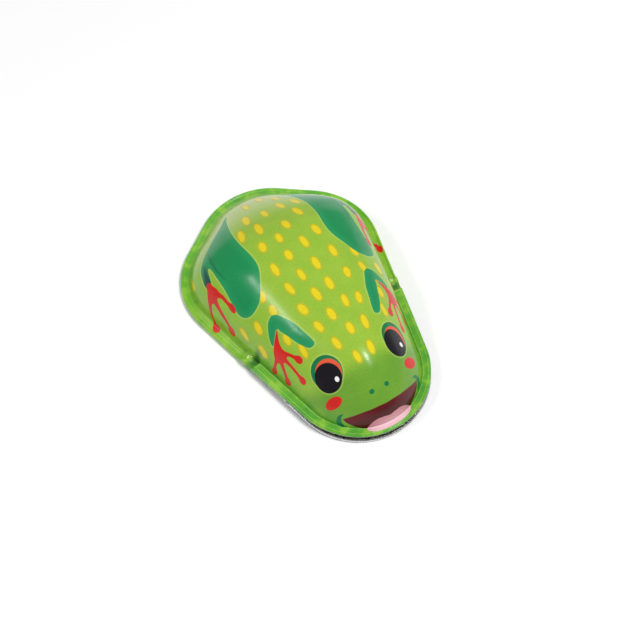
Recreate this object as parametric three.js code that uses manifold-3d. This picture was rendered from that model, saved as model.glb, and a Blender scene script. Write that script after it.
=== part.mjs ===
// Tin jumping frog: a low printed tin shell that hides a sprung flap and a rubber suction cup.
// Millimetres, +Z up, nose towards -Y, tail towards +Y. The origin is on the table, under the
// middle of the toy. The shell stands on its rear hem and on the nose edge of the flap.

import * as THREE from 'three';
import { mergeVertices } from 'three/addons/utils/BufferGeometryUtils.js';
import Module from 'manifold-3d';

const wasm = await Module();
wasm.setup();

const DEG = Math.PI / 180;

// ---- driving dimensions -------------------------------------------------------------------

// Plan outline of the flange, right half: nose arc, straight side, haunch arc, rump, tail arc
const LENGTH = 76;
const NOSE_RADIUS = 17.4;
const SIDE_TAPER = 13.6 * DEG;
const HAUNCH_RADIUS = 18;
const RUMP_ANGLE = 36 * DEG;
const TAIL_RADIUS = 18.4;

// Tinplate and the flange around the dome
const SHEET = 0.4;
const REAR_FLANGE_WIDTH = 2.8;
const FRONT_FLANGE_WIDTH = 2.45;
const REAR_FLANGE_TOP = 1.8;
const FRONT_FLANGE_TOP = 3.3;
const EDGE_RADIUS = 0.5;
const HEM_RETURN = 1.8;

// The front lip hangs deep beside the hinge and rises to a short edge round the nose
const SIDE_LIP_DROP = 2.6;
const NOSE_LIP_DROP = 0.7;
const LIP_DEEP_Y = -9;
const LIP_SHALLOW_Y = -23;

// The step in the flange, and the crimp over each end of the hinge pin
const STEP_Y = -4.5;
const STEP_LENGTH = 1.4;
const CRIMP_HEIGHT = 0.55;
const CRIMP_SPREAD = 0.95;

// Height of the dome along the middle of the back, from nose to tail
const BACK_LINE = [
  [-35.6, 3.3], [-35.1, 5.2], [-33.3, 8.1], [-30, 11.5], [-26, 14.4], [-20, 16.4], [-10, 17.7],
  [0, 18.4], [7, 18.6], [13, 17.9], [18, 16.1], [23, 13.4], [28, 9.9], [32.5, 5.8], [35.2, 1.8],
];
const BACK_NOSE_END = -24;
const BACK_TAIL_END = 22;
const BODY_ROUNDNESS = 0.5;
const HEAD_ROUNDNESS = 0.9;
const NECK_Y = -8;
const HEAD_Y = -24;

// The dome's foot changes slowly from the rear flange's level and width to the front one's
const FOOT_REAR_Y = 12;
const FOOT_FRONT_Y = -22;

// Hinge: a wire pin across the toy under the two crimps
const PIN_RADIUS = 0.5;
const PIN_Y = -6;
const PIN_Z = 2.7;
const PIN_HALF_LENGTH = 20.2;
const PIN_CLEARANCE = 0.15;

// Flap: closes the front half from below. Its hinge end is narrower, to pass inside the deep lip.
const FLAP_HINGE_GAP = 1.6;
const FLAP_NOSE_INSET = 0.1;
const FLAP_HINGE_INSET = 0.75;
const FLAP_SHOULDER_FRONT_Y = -18.5;
const FLAP_SHOULDER_REAR_Y = -15.5;
const KNUCKLE_INNER_X = 4.5;
const KNUCKLE_LENGTH = 5;
const KNUCKLE_OVERLAP = 1;
const KNUCKLE_SWEEP = 285 * DEG;

// Rear base plate, held in the hem, with two ears that carry the pin
const PLATE_BOTTOM = 0.75;
const PLATE_INSET = 0.7;
const PLATE_FRONT_Y = -3.5;
const EAR_X = 15.6;
const EAR_THICKNESS = 0.5;
const EAR_RADIUS = 1.35;
const EAR_FOOT_Y = -0.6;
const EAR_END_ANGLE = 250 * DEG;
const EAR_OVERLAP = 0.2;

// Torsion springs on the pin, one on each side
const WIRE_RADIUS = 0.25;
const COIL_RADIUS = 1.05;
const COIL_START_ANGLE = -80 * DEG;
const COIL_END_ANGLE = (4 * 360 - 162) * DEG;
const COIL_INNER_X = 10.9;
const COIL_OUTER_X = 14.3;
const SPRING_FRONT_LEG = 8;
const SPRING_REAR_LEG = 7;
const LEG_GAP = 0.15;
const SPRING_STEPS = 76;

// Cup bracket: a bent strip riveted on the base plate, reaching forward over the flap
const BRACKET_WIDTH = 7;
const BRACKET_SHEET = 0.6;
const BRACKET_FOOT_Z = 1.45;
const BRACKET_ARM_Z = 6.4;
const BRACKET_REAR_Y = 11.5;
const BRACKET_BEND_Y = 3.4;
const BRACKET_RISE_RUN = 2.2;
const BRACKET_FRONT_Y = -22;
const RIVET_RADIUS = 0.8;
const RIVET_HEAD_RADIUS = 1.6;
const RIVET_YS = { rivet_front: 5.4, rivet_rear: 9.4 };
const RIVET_CLEARANCE = 0.2;
const RIVET_FLAT_HEIGHT = 0.45;
const RIVET_CHAMFER = 0.2;
const RIVET_DOME_HEIGHT = 0.7;
const PUNCH_HEIGHT = 4;

// Suction cup, upright on the flap's inner face. Its wall is given as [radius, height], from the
// middle of the hollow, round the rim, to the neck.
const CUP_Y = -18;
const CUP_WALL = [
  [0, 1.1], [2.4, 0.95], [4.8, 0.3], [5.9, 0], [6, 0.25], [5, 0.95], [3.4, 1.9], [2.2, 2.5],
];
const CUP_NECK_RADIUS = 1.9;
const CUP_STEM_RADIUS = 1.1;
const CUP_STEM_CLEARANCE = 0.25;
const CUP_SEAT_GAP = 0.45;
const CUP_HEAD_RADIUS = 2;
const CUP_HEAD_HEIGHT = 1.3;
const CUP_GAP = 0.3;

// ---- outline ------------------------------------------------------------------------------

const noseCentre = new THREE.Vector2(0, -LENGTH / 2 + NOSE_RADIUS);
const tailCentre = new THREE.Vector2(0, LENGTH / 2 - TAIL_RADIUS);
const sideNormal = new THREE.Vector2(Math.cos(SIDE_TAPER), -Math.sin(SIDE_TAPER));
const rumpNormal = new THREE.Vector2(Math.sin(RUMP_ANGLE), Math.cos(RUMP_ANGLE));
const haunchCentre = findHaunchCentre();

// The haunch arc touches both the side line and the rump line
function findHaunchCentre() {
  const side = noseCentre.dot(sideNormal) + NOSE_RADIUS - HAUNCH_RADIUS;
  const rump = tailCentre.dot(rumpNormal) + TAIL_RADIUS - HAUNCH_RADIUS;
  const cross = sideNormal.x * rumpNormal.y - sideNormal.y * rumpNormal.x;
  return new THREE.Vector2(
    (side * rumpNormal.y - rump * sideNormal.y) / cross,
    (rump * sideNormal.x - side * rumpNormal.x) / cross,
  );
}

function smooth(t) {
  const c = THREE.MathUtils.clamp(t, 0, 1);
  return c * c * (3 - 2 * c);
}

// Half width at y of the outline moved inwards by an inset
function halfWidth(y, inset = 0) {
  const arcX = (centre, radius) => centre.x + Math.sqrt(Math.max(radius ** 2 - (y - centre.y) ** 2, 0));
  const noseEnd = noseCentre.clone().addScaledVector(sideNormal, NOSE_RADIUS - inset);
  const haunchStart = haunchCentre.clone().addScaledVector(sideNormal, HAUNCH_RADIUS - inset);
  const haunchEnd = haunchCentre.clone().addScaledVector(rumpNormal, HAUNCH_RADIUS - inset);
  const tailStart = tailCentre.clone().addScaledVector(rumpNormal, TAIL_RADIUS - inset);
  if (y < noseEnd.y) return arcX(noseCentre, NOSE_RADIUS - inset);
  if (y < haunchStart.y) return noseEnd.x + (y - noseEnd.y) * Math.tan(SIDE_TAPER);
  if (y < haunchEnd.y) return arcX(haunchCentre, HAUNCH_RADIUS - inset);
  if (y < tailStart.y) return haunchEnd.x - (y - haunchEnd.y) / Math.tan(RUMP_ANGLE);
  return arcX(tailCentre, TAIL_RADIUS - inset);
}

// Stations along the straight side: close together at the flap's shoulders and at the step
const SIDE_STATIONS = [
  { from: -21, to: -18.5, count: 2 }, { from: -17.5, to: -15.5, count: 3 },
  { from: -12, to: -8.6, count: 2 }, { from: -7.6, to: -3.55, count: 10 }, { from: -1.5, to: 3, count: 2 },
];

// Stations along the right half of the outline: { point, normal }, from nose tip to tail tip
function outlineStations() {
  const stations = [];
  const addArc = (centre, radius, from, to, steps) => {
    for (let i = 0; i <= steps; i++) {
      const angle = from + (to - from) * i / steps;
      const normal = new THREE.Vector2(Math.cos(angle), Math.sin(angle));
      stations.push({ point: centre.clone().addScaledVector(normal, radius), normal });
    }
  };
  const addSide = (y) => {
    stations.push({ point: new THREE.Vector2(halfWidth(y), y), normal: sideNormal.clone() });
  };
  const sideAngle = -SIDE_TAPER;
  const rumpAngle = 90 * DEG - RUMP_ANGLE;
  addArc(noseCentre, NOSE_RADIUS, -90 * DEG, sideAngle, 9);
  for (const { from, to, count } of SIDE_STATIONS) {
    for (let i = 0; i < count; i++) addSide(THREE.MathUtils.lerp(from, to, i / (count - 1)));
  }
  addArc(haunchCentre, HAUNCH_RADIUS, sideAngle, rumpAngle, 8);
  addArc(tailCentre, TAIL_RADIUS, rumpAngle, 90 * DEG, 5);
  return stations;
}

// The whole outline, counter-clockwise from the nose tip
function closedStations() {
  const right = outlineStations();
  const mirror = ({ point, normal }) => ({
    point: new THREE.Vector2(-point.x, point.y),
    normal: new THREE.Vector2(-normal.x, normal.y),
  });
  const left = right.slice(1, -1).reverse().map(mirror);
  return [...right, ...left];
}

// ---- shell surface ------------------------------------------------------------------------

// 1 on the raised front flange, 0 on the rear flange
function frontness(y) {
  return smooth((STEP_Y + STEP_LENGTH / 2 - y) / STEP_LENGTH);
}

// 0 at the haunches and 1 at the head, for what changes slowly along the body
function footBlend(y) {
  return smooth((FOOT_REAR_Y - y) / (FOOT_REAR_Y - FOOT_FRONT_Y));
}

function flangeWidth(y) {
  return THREE.MathUtils.lerp(REAR_FLANGE_WIDTH, FRONT_FLANGE_WIDTH, footBlend(y));
}

function flangeTop(y) {
  const crimp = CRIMP_HEIGHT * Math.exp(-(((y - PIN_Y) / CRIMP_SPREAD) ** 2));
  return THREE.MathUtils.lerp(REAR_FLANGE_TOP, FRONT_FLANGE_TOP, frontness(y)) + crimp;
}

function lipDrop(y) {
  const depth = smooth((y - LIP_SHALLOW_Y) / (LIP_DEEP_Y - LIP_SHALLOW_Y));
  return THREE.MathUtils.lerp(NOSE_LIP_DROP, SIDE_LIP_DROP, depth);
}

// Monotone cubic through the back line's points
const backSlopes = BACK_LINE.map((p, i) => {
  if (i === 0 || i === BACK_LINE.length - 1) {
    const [a, b] = i === 0 ? [BACK_LINE[0], BACK_LINE[1]] : BACK_LINE.slice(-2);
    return (b[1] - a[1]) / (b[0] - a[0]);
  }
  const before = (p[1] - BACK_LINE[i - 1][1]) / (p[0] - BACK_LINE[i - 1][0]);
  const after = (BACK_LINE[i + 1][1] - p[1]) / (BACK_LINE[i + 1][0] - p[0]);
  return before * after > 0 ? 2 * before * after / (before + after) : 0;
});

function backHeight(y) {
  const i = THREE.MathUtils.clamp(BACK_LINE.findIndex((p) => p[0] > y), 1, BACK_LINE.length - 1);
  const last = y >= BACK_LINE[BACK_LINE.length - 1][0] ? BACK_LINE.length - 1 : i;
  const [a, b] = [BACK_LINE[last - 1], BACK_LINE[last]];
  const span = b[0] - a[0];
  const t = THREE.MathUtils.clamp((y - a[0]) / span, 0, 1);
  return a[1] * (1 + 2 * t) * (1 - t) ** 2 + b[1] * t * t * (3 - 2 * t)
    + backSlopes[last - 1] * span * t * (1 - t) ** 2 - backSlopes[last] * span * t * t * (1 - t);
}

// Height of the dome at (x, y): a half ellipse across the body, flatter sides on the head
function domeHeight(x, y) {
  const foot = THREE.MathUtils.lerp(REAR_FLANGE_TOP, FRONT_FLANGE_TOP, footBlend(y));
  const reach = Math.min(Math.abs(x) / Math.max(halfWidth(y, flangeWidth(y)), 1e-6), 1);
  const roundness = THREE.MathUtils.lerp(
    BODY_ROUNDNESS, HEAD_ROUNDNESS, smooth((NECK_Y - y) / (NECK_Y - HEAD_Y)));
  return foot + Math.max(backHeight(y) - foot, 0) * (1 - reach ** 2) ** roundness;
}

function domeNormal(x, y) {
  const h = 0.02;
  return new THREE.Vector3(
    domeHeight(x - h, y) - domeHeight(x + h, y),
    domeHeight(x, y - h) - domeHeight(x, y + h),
    2 * h,
  ).normalize();
}

// Outer and inner skin of the flange and its edge, as [inset from the outline, z] pairs.
// In front the edge ends in a lip; at the rear it turns under into a hem.
function flangeSection(y) {
  const front = frontness(y);
  const width = flangeWidth(y);
  const top = flangeTop(y);
  const corner = EDGE_RADIUS * (1 - Math.SQRT1_2);
  const lip = top - lipDrop(y);
  const lipStep = (top - EDGE_RADIUS - lip) / 4;
  const mix = (rear, ahead) => [
    THREE.MathUtils.lerp(rear[0], ahead[0], front),
    THREE.MathUtils.lerp(rear[1], ahead[1], front),
  ];
  const outer = [
    [width, top],
    [EDGE_RADIUS, top],
    [corner, top - corner],
    [0, top - EDGE_RADIUS],
    mix([0, EDGE_RADIUS], [0, lip + 3 * lipStep]),
    mix([corner, corner], [0, lip + 2 * lipStep]),
    mix([EDGE_RADIUS, 0], [0, lip + lipStep]),
    mix([HEM_RETURN, 0], [0, lip]),
  ];
  const inner = [
    mix([HEM_RETURN, SHEET], [SHEET, lip]),
    mix([EDGE_RADIUS, SHEET], [SHEET, lip + lipStep]),
    mix([SHEET, EDGE_RADIUS], [SHEET, lip + 3 * lipStep]),
    [SHEET, top - EDGE_RADIUS],
    [EDGE_RADIUS, top - SHEET],
    [width + SHEET, top - SHEET],
  ];
  return { outer, inner };
}

const DOME_RINGS = 9;

// One closed loop of points per station: over the dome, round the edge, and back inside
function shellSection({ point, normal }) {
  const y = point.y;
  const base = point.clone().addScaledVector(normal, -flangeWidth(y));
  const along = THREE.MathUtils.inverseLerp(-LENGTH / 2, LENGTH / 2, y);
  const spineY = THREE.MathUtils.lerp(BACK_NOSE_END, BACK_TAIL_END, along);
  const { outer, inner } = flangeSection(y);
  const outerDome = [];
  const innerDome = [];
  for (let ring = 0; ring < DOME_RINGS; ring++) {
    const reach = Math.sin((ring / DOME_RINGS) * 90 * DEG);
    const px = base.x * reach;
    const py = THREE.MathUtils.lerp(spineY, base.y, reach);
    const skin = new THREE.Vector3(px, py, domeHeight(px, py));
    outerDome.push(skin);
    innerDome.push(skin.clone().addScaledVector(domeNormal(px, py), -SHEET));
  }
  const lift = ([inset, z]) => {
    const p = point.clone().addScaledVector(normal, -inset);
    return new THREE.Vector3(p.x, p.y, z);
  };
  return [...outerDome, ...outer.map(lift), ...inner.map(lift), ...innerDome.reverse()];
}

function bodyShell() {
  const sections = closedStations().map(shellSection);
  const size = sections[0].length;
  const positions = sections.flat().flatMap((p) => [p.x, p.y, p.z]);
  const indices = [];
  sections.forEach((_, s) => {
    const next = (s + 1) % sections.length;
    for (let i = 0; i + 1 < size; i++) {
      const [a, b, c, d] = [s * size + i, s * size + i + 1, next * size + i + 1, next * size + i];
      indices.push(a, b, c, a, c, d);
    }
  });
  const geometry = new THREE.BufferGeometry();
  geometry.setAttribute('position', new THREE.Float32BufferAttribute(positions, 3));
  geometry.setIndex(indices);
  return toGeometry(toManifold(geometry));
}

// ---- helpers for solids -------------------------------------------------------------------

function toManifold(geometry) {
  const bare = geometry.clone();
  bare.deleteAttribute('normal');
  bare.deleteAttribute('uv');
  const merged = mergeVertices(bare, 1e-4);
  const index = merged.index.array;
  const triangles = [];
  for (let i = 0; i < index.length; i += 3) {
    const [a, b, c] = [index[i], index[i + 1], index[i + 2]];
    if (a !== b && b !== c && c !== a) triangles.push(a, b, c);
  }
  return new wasm.Manifold(new wasm.Mesh({
    numProp: 3,
    vertProperties: new Float32Array(merged.attributes.position.array),
    triVerts: new Uint32Array(triangles),
  }));
}

function toGeometry(solid) {
  const mesh = solid.getMesh();
  const geometry = new THREE.BufferGeometry();
  geometry.setAttribute('position', new THREE.Float32BufferAttribute(mesh.vertProperties, 3));
  geometry.setIndex(Array.from(mesh.triVerts));
  geometry.computeVertexNormals();
  return geometry;
}

// Flat sheet of a plan shape (x, y), from z to z + thickness
function sheet(shape, z, thickness) {
  const geometry = new THREE.ExtrudeGeometry(shape, { depth: thickness, bevelEnabled: false });
  geometry.translate(0, 0, z);
  return geometry;
}

// Profile drawn in (y, z), extruded along X from x to x + length
function sideExtrusion(shape, x, length, curveSegments = 12) {
  const geometry = new THREE.ExtrudeGeometry(
    shape, { depth: length, bevelEnabled: false, curveSegments });
  geometry.applyMatrix4(new THREE.Matrix4().set(
    0, 0, 1, x,
    1, 0, 0, 0,
    0, 1, 0, 0,
    0, 0, 0, 1,
  ));
  return geometry;
}

function uprightCylinder(radius, x, y, z, height, segments = 20) {
  const geometry = new THREE.CylinderGeometry(radius, radius, height, segments);
  geometry.rotateX(90 * DEG);
  geometry.translate(x, y, z + height / 2);
  return geometry;
}

function crossCylinder(radius, y, z, halfLength, segments = 20) {
  const geometry = new THREE.CylinderGeometry(radius, radius, 2 * halfLength, segments);
  geometry.rotateZ(90 * DEG);
  geometry.translate(0, y, z);
  return geometry;
}

// ---- sub-parts ----------------------------------------------------------------------------

// Plate outline between two y values, following the toy's outline with an inset that may vary
function plateShape(fromY, toY, insetAt) {
  const margin = 0.05;
  const right = outlineStations()
    .map(({ point, normal }) => point.clone().addScaledVector(normal, -insetAt(point.y)))
    .filter((p) => p.y > fromY + margin && p.y < toY - margin);
  const ends = [fromY, toY].filter((y) => Math.abs(y) < LENGTH / 2 - insetAt(y));
  ends.forEach((y) => right.push(new THREE.Vector2(halfWidth(y, insetAt(y)), y)));
  right.sort((a, b) => a.y - b.y);
  if (!ends.includes(fromY)) right[0].x = 0;
  const left = right.filter((p) => p.x > 1e-6).map((p) => new THREE.Vector2(-p.x, p.y)).reverse();
  return new THREE.Shape([...right, ...left]);
}

function basePlate() {
  const outline = plateShape(PLATE_FRONT_Y, LENGTH / 2, () => PLATE_INSET);
  let plate = toManifold(sheet(outline, PLATE_BOTTOM, SHEET));
  const ear = new THREE.Shape();
  ear.moveTo(EAR_FOOT_Y, PLATE_BOTTOM);
  ear.lineTo(EAR_FOOT_Y, PLATE_BOTTOM + SHEET);
  ear.lineTo(PIN_Y + EAR_RADIUS * Math.SQRT1_2, PIN_Z + EAR_RADIUS * Math.SQRT1_2);
  ear.absarc(PIN_Y, PIN_Z, EAR_RADIUS, 45 * DEG, EAR_END_ANGLE, false);
  ear.lineTo(PLATE_FRONT_Y + EAR_OVERLAP, PLATE_BOTTOM);
  for (const side of [-1, 1]) {
    const x = side * EAR_X - EAR_THICKNESS / 2;
    plate = plate.add(toManifold(sideExtrusion(ear, x, EAR_THICKNESS)));
  }
  plate = plate.subtract(toManifold(
    crossCylinder(PIN_RADIUS + PIN_CLEARANCE, PIN_Y, PIN_Z, PIN_HALF_LENGTH)));
  for (const y of Object.values(RIVET_YS)) {
    const hole = uprightCylinder(RIVET_RADIUS + RIVET_CLEARANCE, 0, y, 0, PUNCH_HEIGHT);
    plate = plate.subtract(toManifold(hole));
  }
  return toGeometry(plate);
}

function hingePin() {
  return crossCylinder(PIN_RADIUS, 0, 0, PIN_HALF_LENGTH, 16);
}

// The flap is drawn about the pin: its plate hangs below the pin by the knuckle's radius
const KNUCKLE_INNER = PIN_RADIUS + PIN_CLEARANCE;
const KNUCKLE_OUTER = KNUCKLE_INNER + SHEET;
const FLAP_REACH = LENGTH / 2 + PIN_Y;
const FLAP_REST_ANGLE = Math.asin((PIN_Z - KNUCKLE_OUTER) / FLAP_REACH);

function flapInset(y) {
  const shoulder = smooth((y - FLAP_SHOULDER_FRONT_Y) / (FLAP_SHOULDER_REAR_Y - FLAP_SHOULDER_FRONT_Y));
  return THREE.MathUtils.lerp(FLAP_NOSE_INSET, FLAP_HINGE_INSET, shoulder);
}

function jumpFlap() {
  const shape = plateShape(-LENGTH / 2, PIN_Y - FLAP_HINGE_GAP, flapInset);
  const plateGeometry = sheet(shape, -KNUCKLE_OUTER, SHEET);
  plateGeometry.translate(0, -PIN_Y, 0);
  let flap = toManifold(plateGeometry);
  const curl = new THREE.Shape();
  curl.moveTo(-FLAP_HINGE_GAP - KNUCKLE_OVERLAP, -KNUCKLE_OUTER);
  curl.lineTo(0, -KNUCKLE_OUTER);
  curl.absarc(0, 0, KNUCKLE_OUTER, -90 * DEG, KNUCKLE_SWEEP - 90 * DEG, false);
  curl.absarc(0, 0, KNUCKLE_INNER, KNUCKLE_SWEEP - 90 * DEG, -90 * DEG, true);
  curl.lineTo(-FLAP_HINGE_GAP - KNUCKLE_OVERLAP, -KNUCKLE_INNER);
  for (const x of [KNUCKLE_INNER_X, -KNUCKLE_INNER_X - KNUCKLE_LENGTH]) {
    flap = flap.add(toManifold(sideExtrusion(curl, x, KNUCKLE_LENGTH, 20)));
  }
  return toGeometry(flap);
}

// Wire path of a spring about the pin: rear leg, coil, front leg
class SpringWire extends THREE.Curve {
  constructor(side) {
    super();
    this.side = side;
    const rearZ = PLATE_BOTTOM + SHEET + LEG_GAP + WIRE_RADIUS - PIN_Z;
    const frontZ = -KNUCKLE_INNER - SPRING_FRONT_LEG * Math.tan(FLAP_REST_ANGLE) + LEG_GAP + WIRE_RADIUS;
    this.rearTip = new THREE.Vector3(COIL_OUTER_X, SPRING_REAR_LEG, rearZ);
    this.frontTip = new THREE.Vector3(COIL_INNER_X, -SPRING_FRONT_LEG, frontZ);
    const coil = COIL_RADIUS * (COIL_END_ANGLE - COIL_START_ANGLE);
    this.coilStart = SPRING_REAR_LEG / (SPRING_REAR_LEG + coil + SPRING_FRONT_LEG);
    this.coilEnd = 1 - SPRING_FRONT_LEG / (SPRING_REAR_LEG + coil + SPRING_FRONT_LEG);
  }

  coilPoint(turn) {
    const angle = THREE.MathUtils.lerp(COIL_START_ANGLE, COIL_END_ANGLE, turn);
    const x = THREE.MathUtils.lerp(COIL_OUTER_X, COIL_INNER_X, turn);
    return new THREE.Vector3(x, COIL_RADIUS * Math.cos(angle), COIL_RADIUS * Math.sin(angle));
  }

  getPoint(t, target = new THREE.Vector3()) {
    if (t < this.coilStart) {
      target.lerpVectors(this.rearTip, this.coilPoint(0), t / this.coilStart);
    } else if (t < this.coilEnd) {
      target.copy(this.coilPoint((t - this.coilStart) / (this.coilEnd - this.coilStart)));
    } else {
      target.lerpVectors(this.coilPoint(1), this.frontTip, (t - this.coilEnd) / (1 - this.coilEnd));
    }
    target.x *= this.side;
    return target;
  }
}

function spring(side) {
  const section = new THREE.Shape();
  section.absarc(0, 0, WIRE_RADIUS, 0, 360 * DEG, false);
  const geometry = new THREE.ExtrudeGeometry(section, {
    steps: SPRING_STEPS, curveSegments: 4, bevelEnabled: false, extrudePath: new SpringWire(side),
  });
  return toGeometry(toManifold(geometry));
}

function cupBracket() {
  const half = BRACKET_SHEET / 2;
  const footZ = BRACKET_FOOT_Z + half;
  const centre = [
    [BRACKET_REAR_Y, footZ],
    [BRACKET_BEND_Y, footZ],
    [BRACKET_BEND_Y - BRACKET_RISE_RUN, BRACKET_ARM_Z],
    [BRACKET_FRONT_Y, BRACKET_ARM_Z],
  ];
  // Both bends are mitred: the sloping stretch is shifted by half the sheet along its normal
  const rise = BRACKET_ARM_Z - footZ;
  const slope = Math.hypot(rise, BRACKET_RISE_RUN);
  const mitre = half * (slope - BRACKET_RISE_RUN) / rise;
  const upper = [
    [centre[0][0], footZ + half], [centre[1][0] + mitre, footZ + half],
    [centre[2][0] + mitre, BRACKET_ARM_Z + half], [centre[3][0], BRACKET_ARM_Z + half],
  ];
  const lower = [
    [centre[3][0], BRACKET_ARM_Z - half], [centre[2][0] - mitre, BRACKET_ARM_Z - half],
    [centre[1][0] - mitre, footZ - half], [centre[0][0], footZ - half],
  ];
  const profile = new THREE.Shape([...upper, ...lower].map(([y, z]) => new THREE.Vector2(y, z)));
  let bracket = toManifold(sideExtrusion(profile, -BRACKET_WIDTH / 2, BRACKET_WIDTH));
  for (const y of Object.values(RIVET_YS)) {
    const hole = uprightCylinder(RIVET_RADIUS + RIVET_CLEARANCE, 0, y, 0, PUNCH_HEIGHT);
    bracket = bracket.subtract(toManifold(hole));
  }
  const stemHole = uprightCylinder(
    CUP_STEM_RADIUS + CUP_STEM_CLEARANCE, 0, CUP_Y, BRACKET_ARM_Z - PUNCH_HEIGHT / 2, PUNCH_HEIGHT, 24);
  return toGeometry(bracket.subtract(toManifold(stemHole)));
}

// Rivet through the base plate and the bracket's foot, drawn from z = 0 at the base plate
function rivet() {
  const under = PLATE_BOTTOM - RIVET_CLEARANCE;
  const over = BRACKET_FOOT_Z + BRACKET_SHEET + RIVET_CLEARANCE;
  const flat = under - RIVET_FLAT_HEIGHT;
  const profile = [
    [0, flat], [RIVET_HEAD_RADIUS - RIVET_CHAMFER, flat], [RIVET_HEAD_RADIUS, flat + RIVET_CHAMFER],
    [RIVET_HEAD_RADIUS, under], [RIVET_RADIUS, under], [RIVET_RADIUS, over], [RIVET_HEAD_RADIUS, over],
  ];
  for (const angle of [30 * DEG, 60 * DEG]) {
    profile.push([RIVET_HEAD_RADIUS * Math.cos(angle), over + RIVET_DOME_HEIGHT * Math.sin(angle)]);
  }
  profile.push([0, over + RIVET_DOME_HEIGHT]);
  const geometry = new THREE.LatheGeometry(profile.map(([r, z]) => new THREE.Vector2(r, z)), 20);
  geometry.rotateX(90 * DEG);
  return toGeometry(toManifold(geometry));
}

// Suction cup, drawn upright from its rim at z = 0: cup, neck, stem and button head
const FLAP_TOP_AT_CUP = PIN_Z - KNUCKLE_INNER * Math.cos(FLAP_REST_ANGLE)
  - (PIN_Y - CUP_Y) * Math.tan(FLAP_REST_ANGLE);
const CUP_RIM_Z = FLAP_TOP_AT_CUP + CUP_GAP;

function suctionCup() {
  const neck = BRACKET_ARM_Z - BRACKET_SHEET / 2 - CUP_RIM_Z - CUP_SEAT_GAP;
  const head = neck + BRACKET_SHEET + 2 * CUP_SEAT_GAP;
  const profile = [
    ...CUP_WALL, [CUP_NECK_RADIUS, neck], [CUP_STEM_RADIUS, neck], [CUP_STEM_RADIUS, head],
    [CUP_HEAD_RADIUS, head], [CUP_HEAD_RADIUS, head + 0.4 * CUP_HEAD_HEIGHT],
    [0.6 * CUP_HEAD_RADIUS, head + 0.85 * CUP_HEAD_HEIGHT], [0, head + CUP_HEAD_HEIGHT],
  ];
  const geometry = new THREE.LatheGeometry(profile.map(([r, z]) => new THREE.Vector2(r, z)), 28);
  geometry.rotateX(90 * DEG);
  return toGeometry(toManifold(geometry));
}

// ---- assembly -----------------------------------------------------------------------------

const printedGreen = { color: 0x74b52c, roughness: 0.25, metalness: 0.0 };
const bareTin = { color: 0xc9cbcc, roughness: 0.28, metalness: 1.0 };
const steelWire = { color: 0xa9abad, roughness: 0.35, metalness: 1.0 };
const redRubber = { color: 0x8f2a22, roughness: 0.6, metalness: 0.0 };

function named(name, geometry, finish) {
  const mesh = new THREE.Mesh(geometry, new THREE.MeshStandardMaterial(finish));
  mesh.name = name;
  return mesh;
}

const frog = new THREE.Group();
frog.add(named('body_shell', bodyShell(), printedGreen));
frog.add(named('base_plate', basePlate(), bareTin));

const hinge = new THREE.Group();
hinge.position.set(0, PIN_Y, PIN_Z);
hinge.add(named('hinge_pin', hingePin(), steelWire));
hinge.add(named('spring_left', spring(-1), steelWire));
hinge.add(named('spring_right', spring(1), steelWire));
frog.add(hinge);

const flapGroup = new THREE.Group();
flapGroup.position.set(0, PIN_Y, PIN_Z);
flapGroup.rotation.x = FLAP_REST_ANGLE;
flapGroup.add(named('jump_flap', jumpFlap(), bareTin));
frog.add(flapGroup);

frog.add(named('cup_bracket', cupBracket(), bareTin));
for (const [name, y] of Object.entries(RIVET_YS)) {
  const mesh = named(name, rivet(), steelWire);
  mesh.position.y = y;
  frog.add(mesh);
}

const cup = named('suction_cup', suctionCup(), redRubber);
cup.position.set(0, CUP_Y, CUP_RIM_Z);
cup.rotation.x = FLAP_REST_ANGLE;
frog.add(cup);

export default frog;
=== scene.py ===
"""Tin jumping frog: the finished look of its printed shell, its sprung flap and the works under it."""

import math

import bmesh
import bpy
import numpy as np
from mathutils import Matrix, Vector


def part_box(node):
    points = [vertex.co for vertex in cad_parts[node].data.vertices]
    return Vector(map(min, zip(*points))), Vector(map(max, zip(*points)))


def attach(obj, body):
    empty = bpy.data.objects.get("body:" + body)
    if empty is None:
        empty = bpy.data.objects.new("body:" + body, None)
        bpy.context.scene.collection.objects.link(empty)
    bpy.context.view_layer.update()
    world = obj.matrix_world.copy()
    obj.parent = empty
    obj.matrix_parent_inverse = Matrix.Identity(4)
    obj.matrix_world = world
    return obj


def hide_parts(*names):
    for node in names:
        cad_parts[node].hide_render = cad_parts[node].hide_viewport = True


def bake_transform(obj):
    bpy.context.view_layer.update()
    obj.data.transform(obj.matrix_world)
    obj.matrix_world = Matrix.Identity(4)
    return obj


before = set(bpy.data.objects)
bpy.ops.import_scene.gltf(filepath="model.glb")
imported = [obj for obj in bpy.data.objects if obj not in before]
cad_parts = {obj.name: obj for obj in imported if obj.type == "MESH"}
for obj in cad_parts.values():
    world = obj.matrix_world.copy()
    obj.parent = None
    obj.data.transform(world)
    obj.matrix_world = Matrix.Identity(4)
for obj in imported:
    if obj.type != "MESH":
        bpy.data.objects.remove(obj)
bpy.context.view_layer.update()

# Lengths below are in millimetres, in the frame's own axes: nose towards -Y, +Z up
MM = 0.001


def node_box(name):
    """Lowest and highest corner of a CAD node, in millimetres."""
    low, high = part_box(name)
    return np.array(low) / MM, np.array(high) / MM


SHELL_LOW, SHELL_HIGH = node_box("body_shell")
LENGTH = SHELL_HIGH[1] - SHELL_LOW[1]
SHEET = 0.4

# Plan outline of the flange: nose arc, straight side, haunch arc, rump, tail arc
NOSE_RADIUS = 17.4
SIDE_TAPER = math.radians(13.6)
HAUNCH_RADIUS = 18
RUMP_ANGLE = math.radians(36)
TAIL_RADIUS = 18.4

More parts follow.
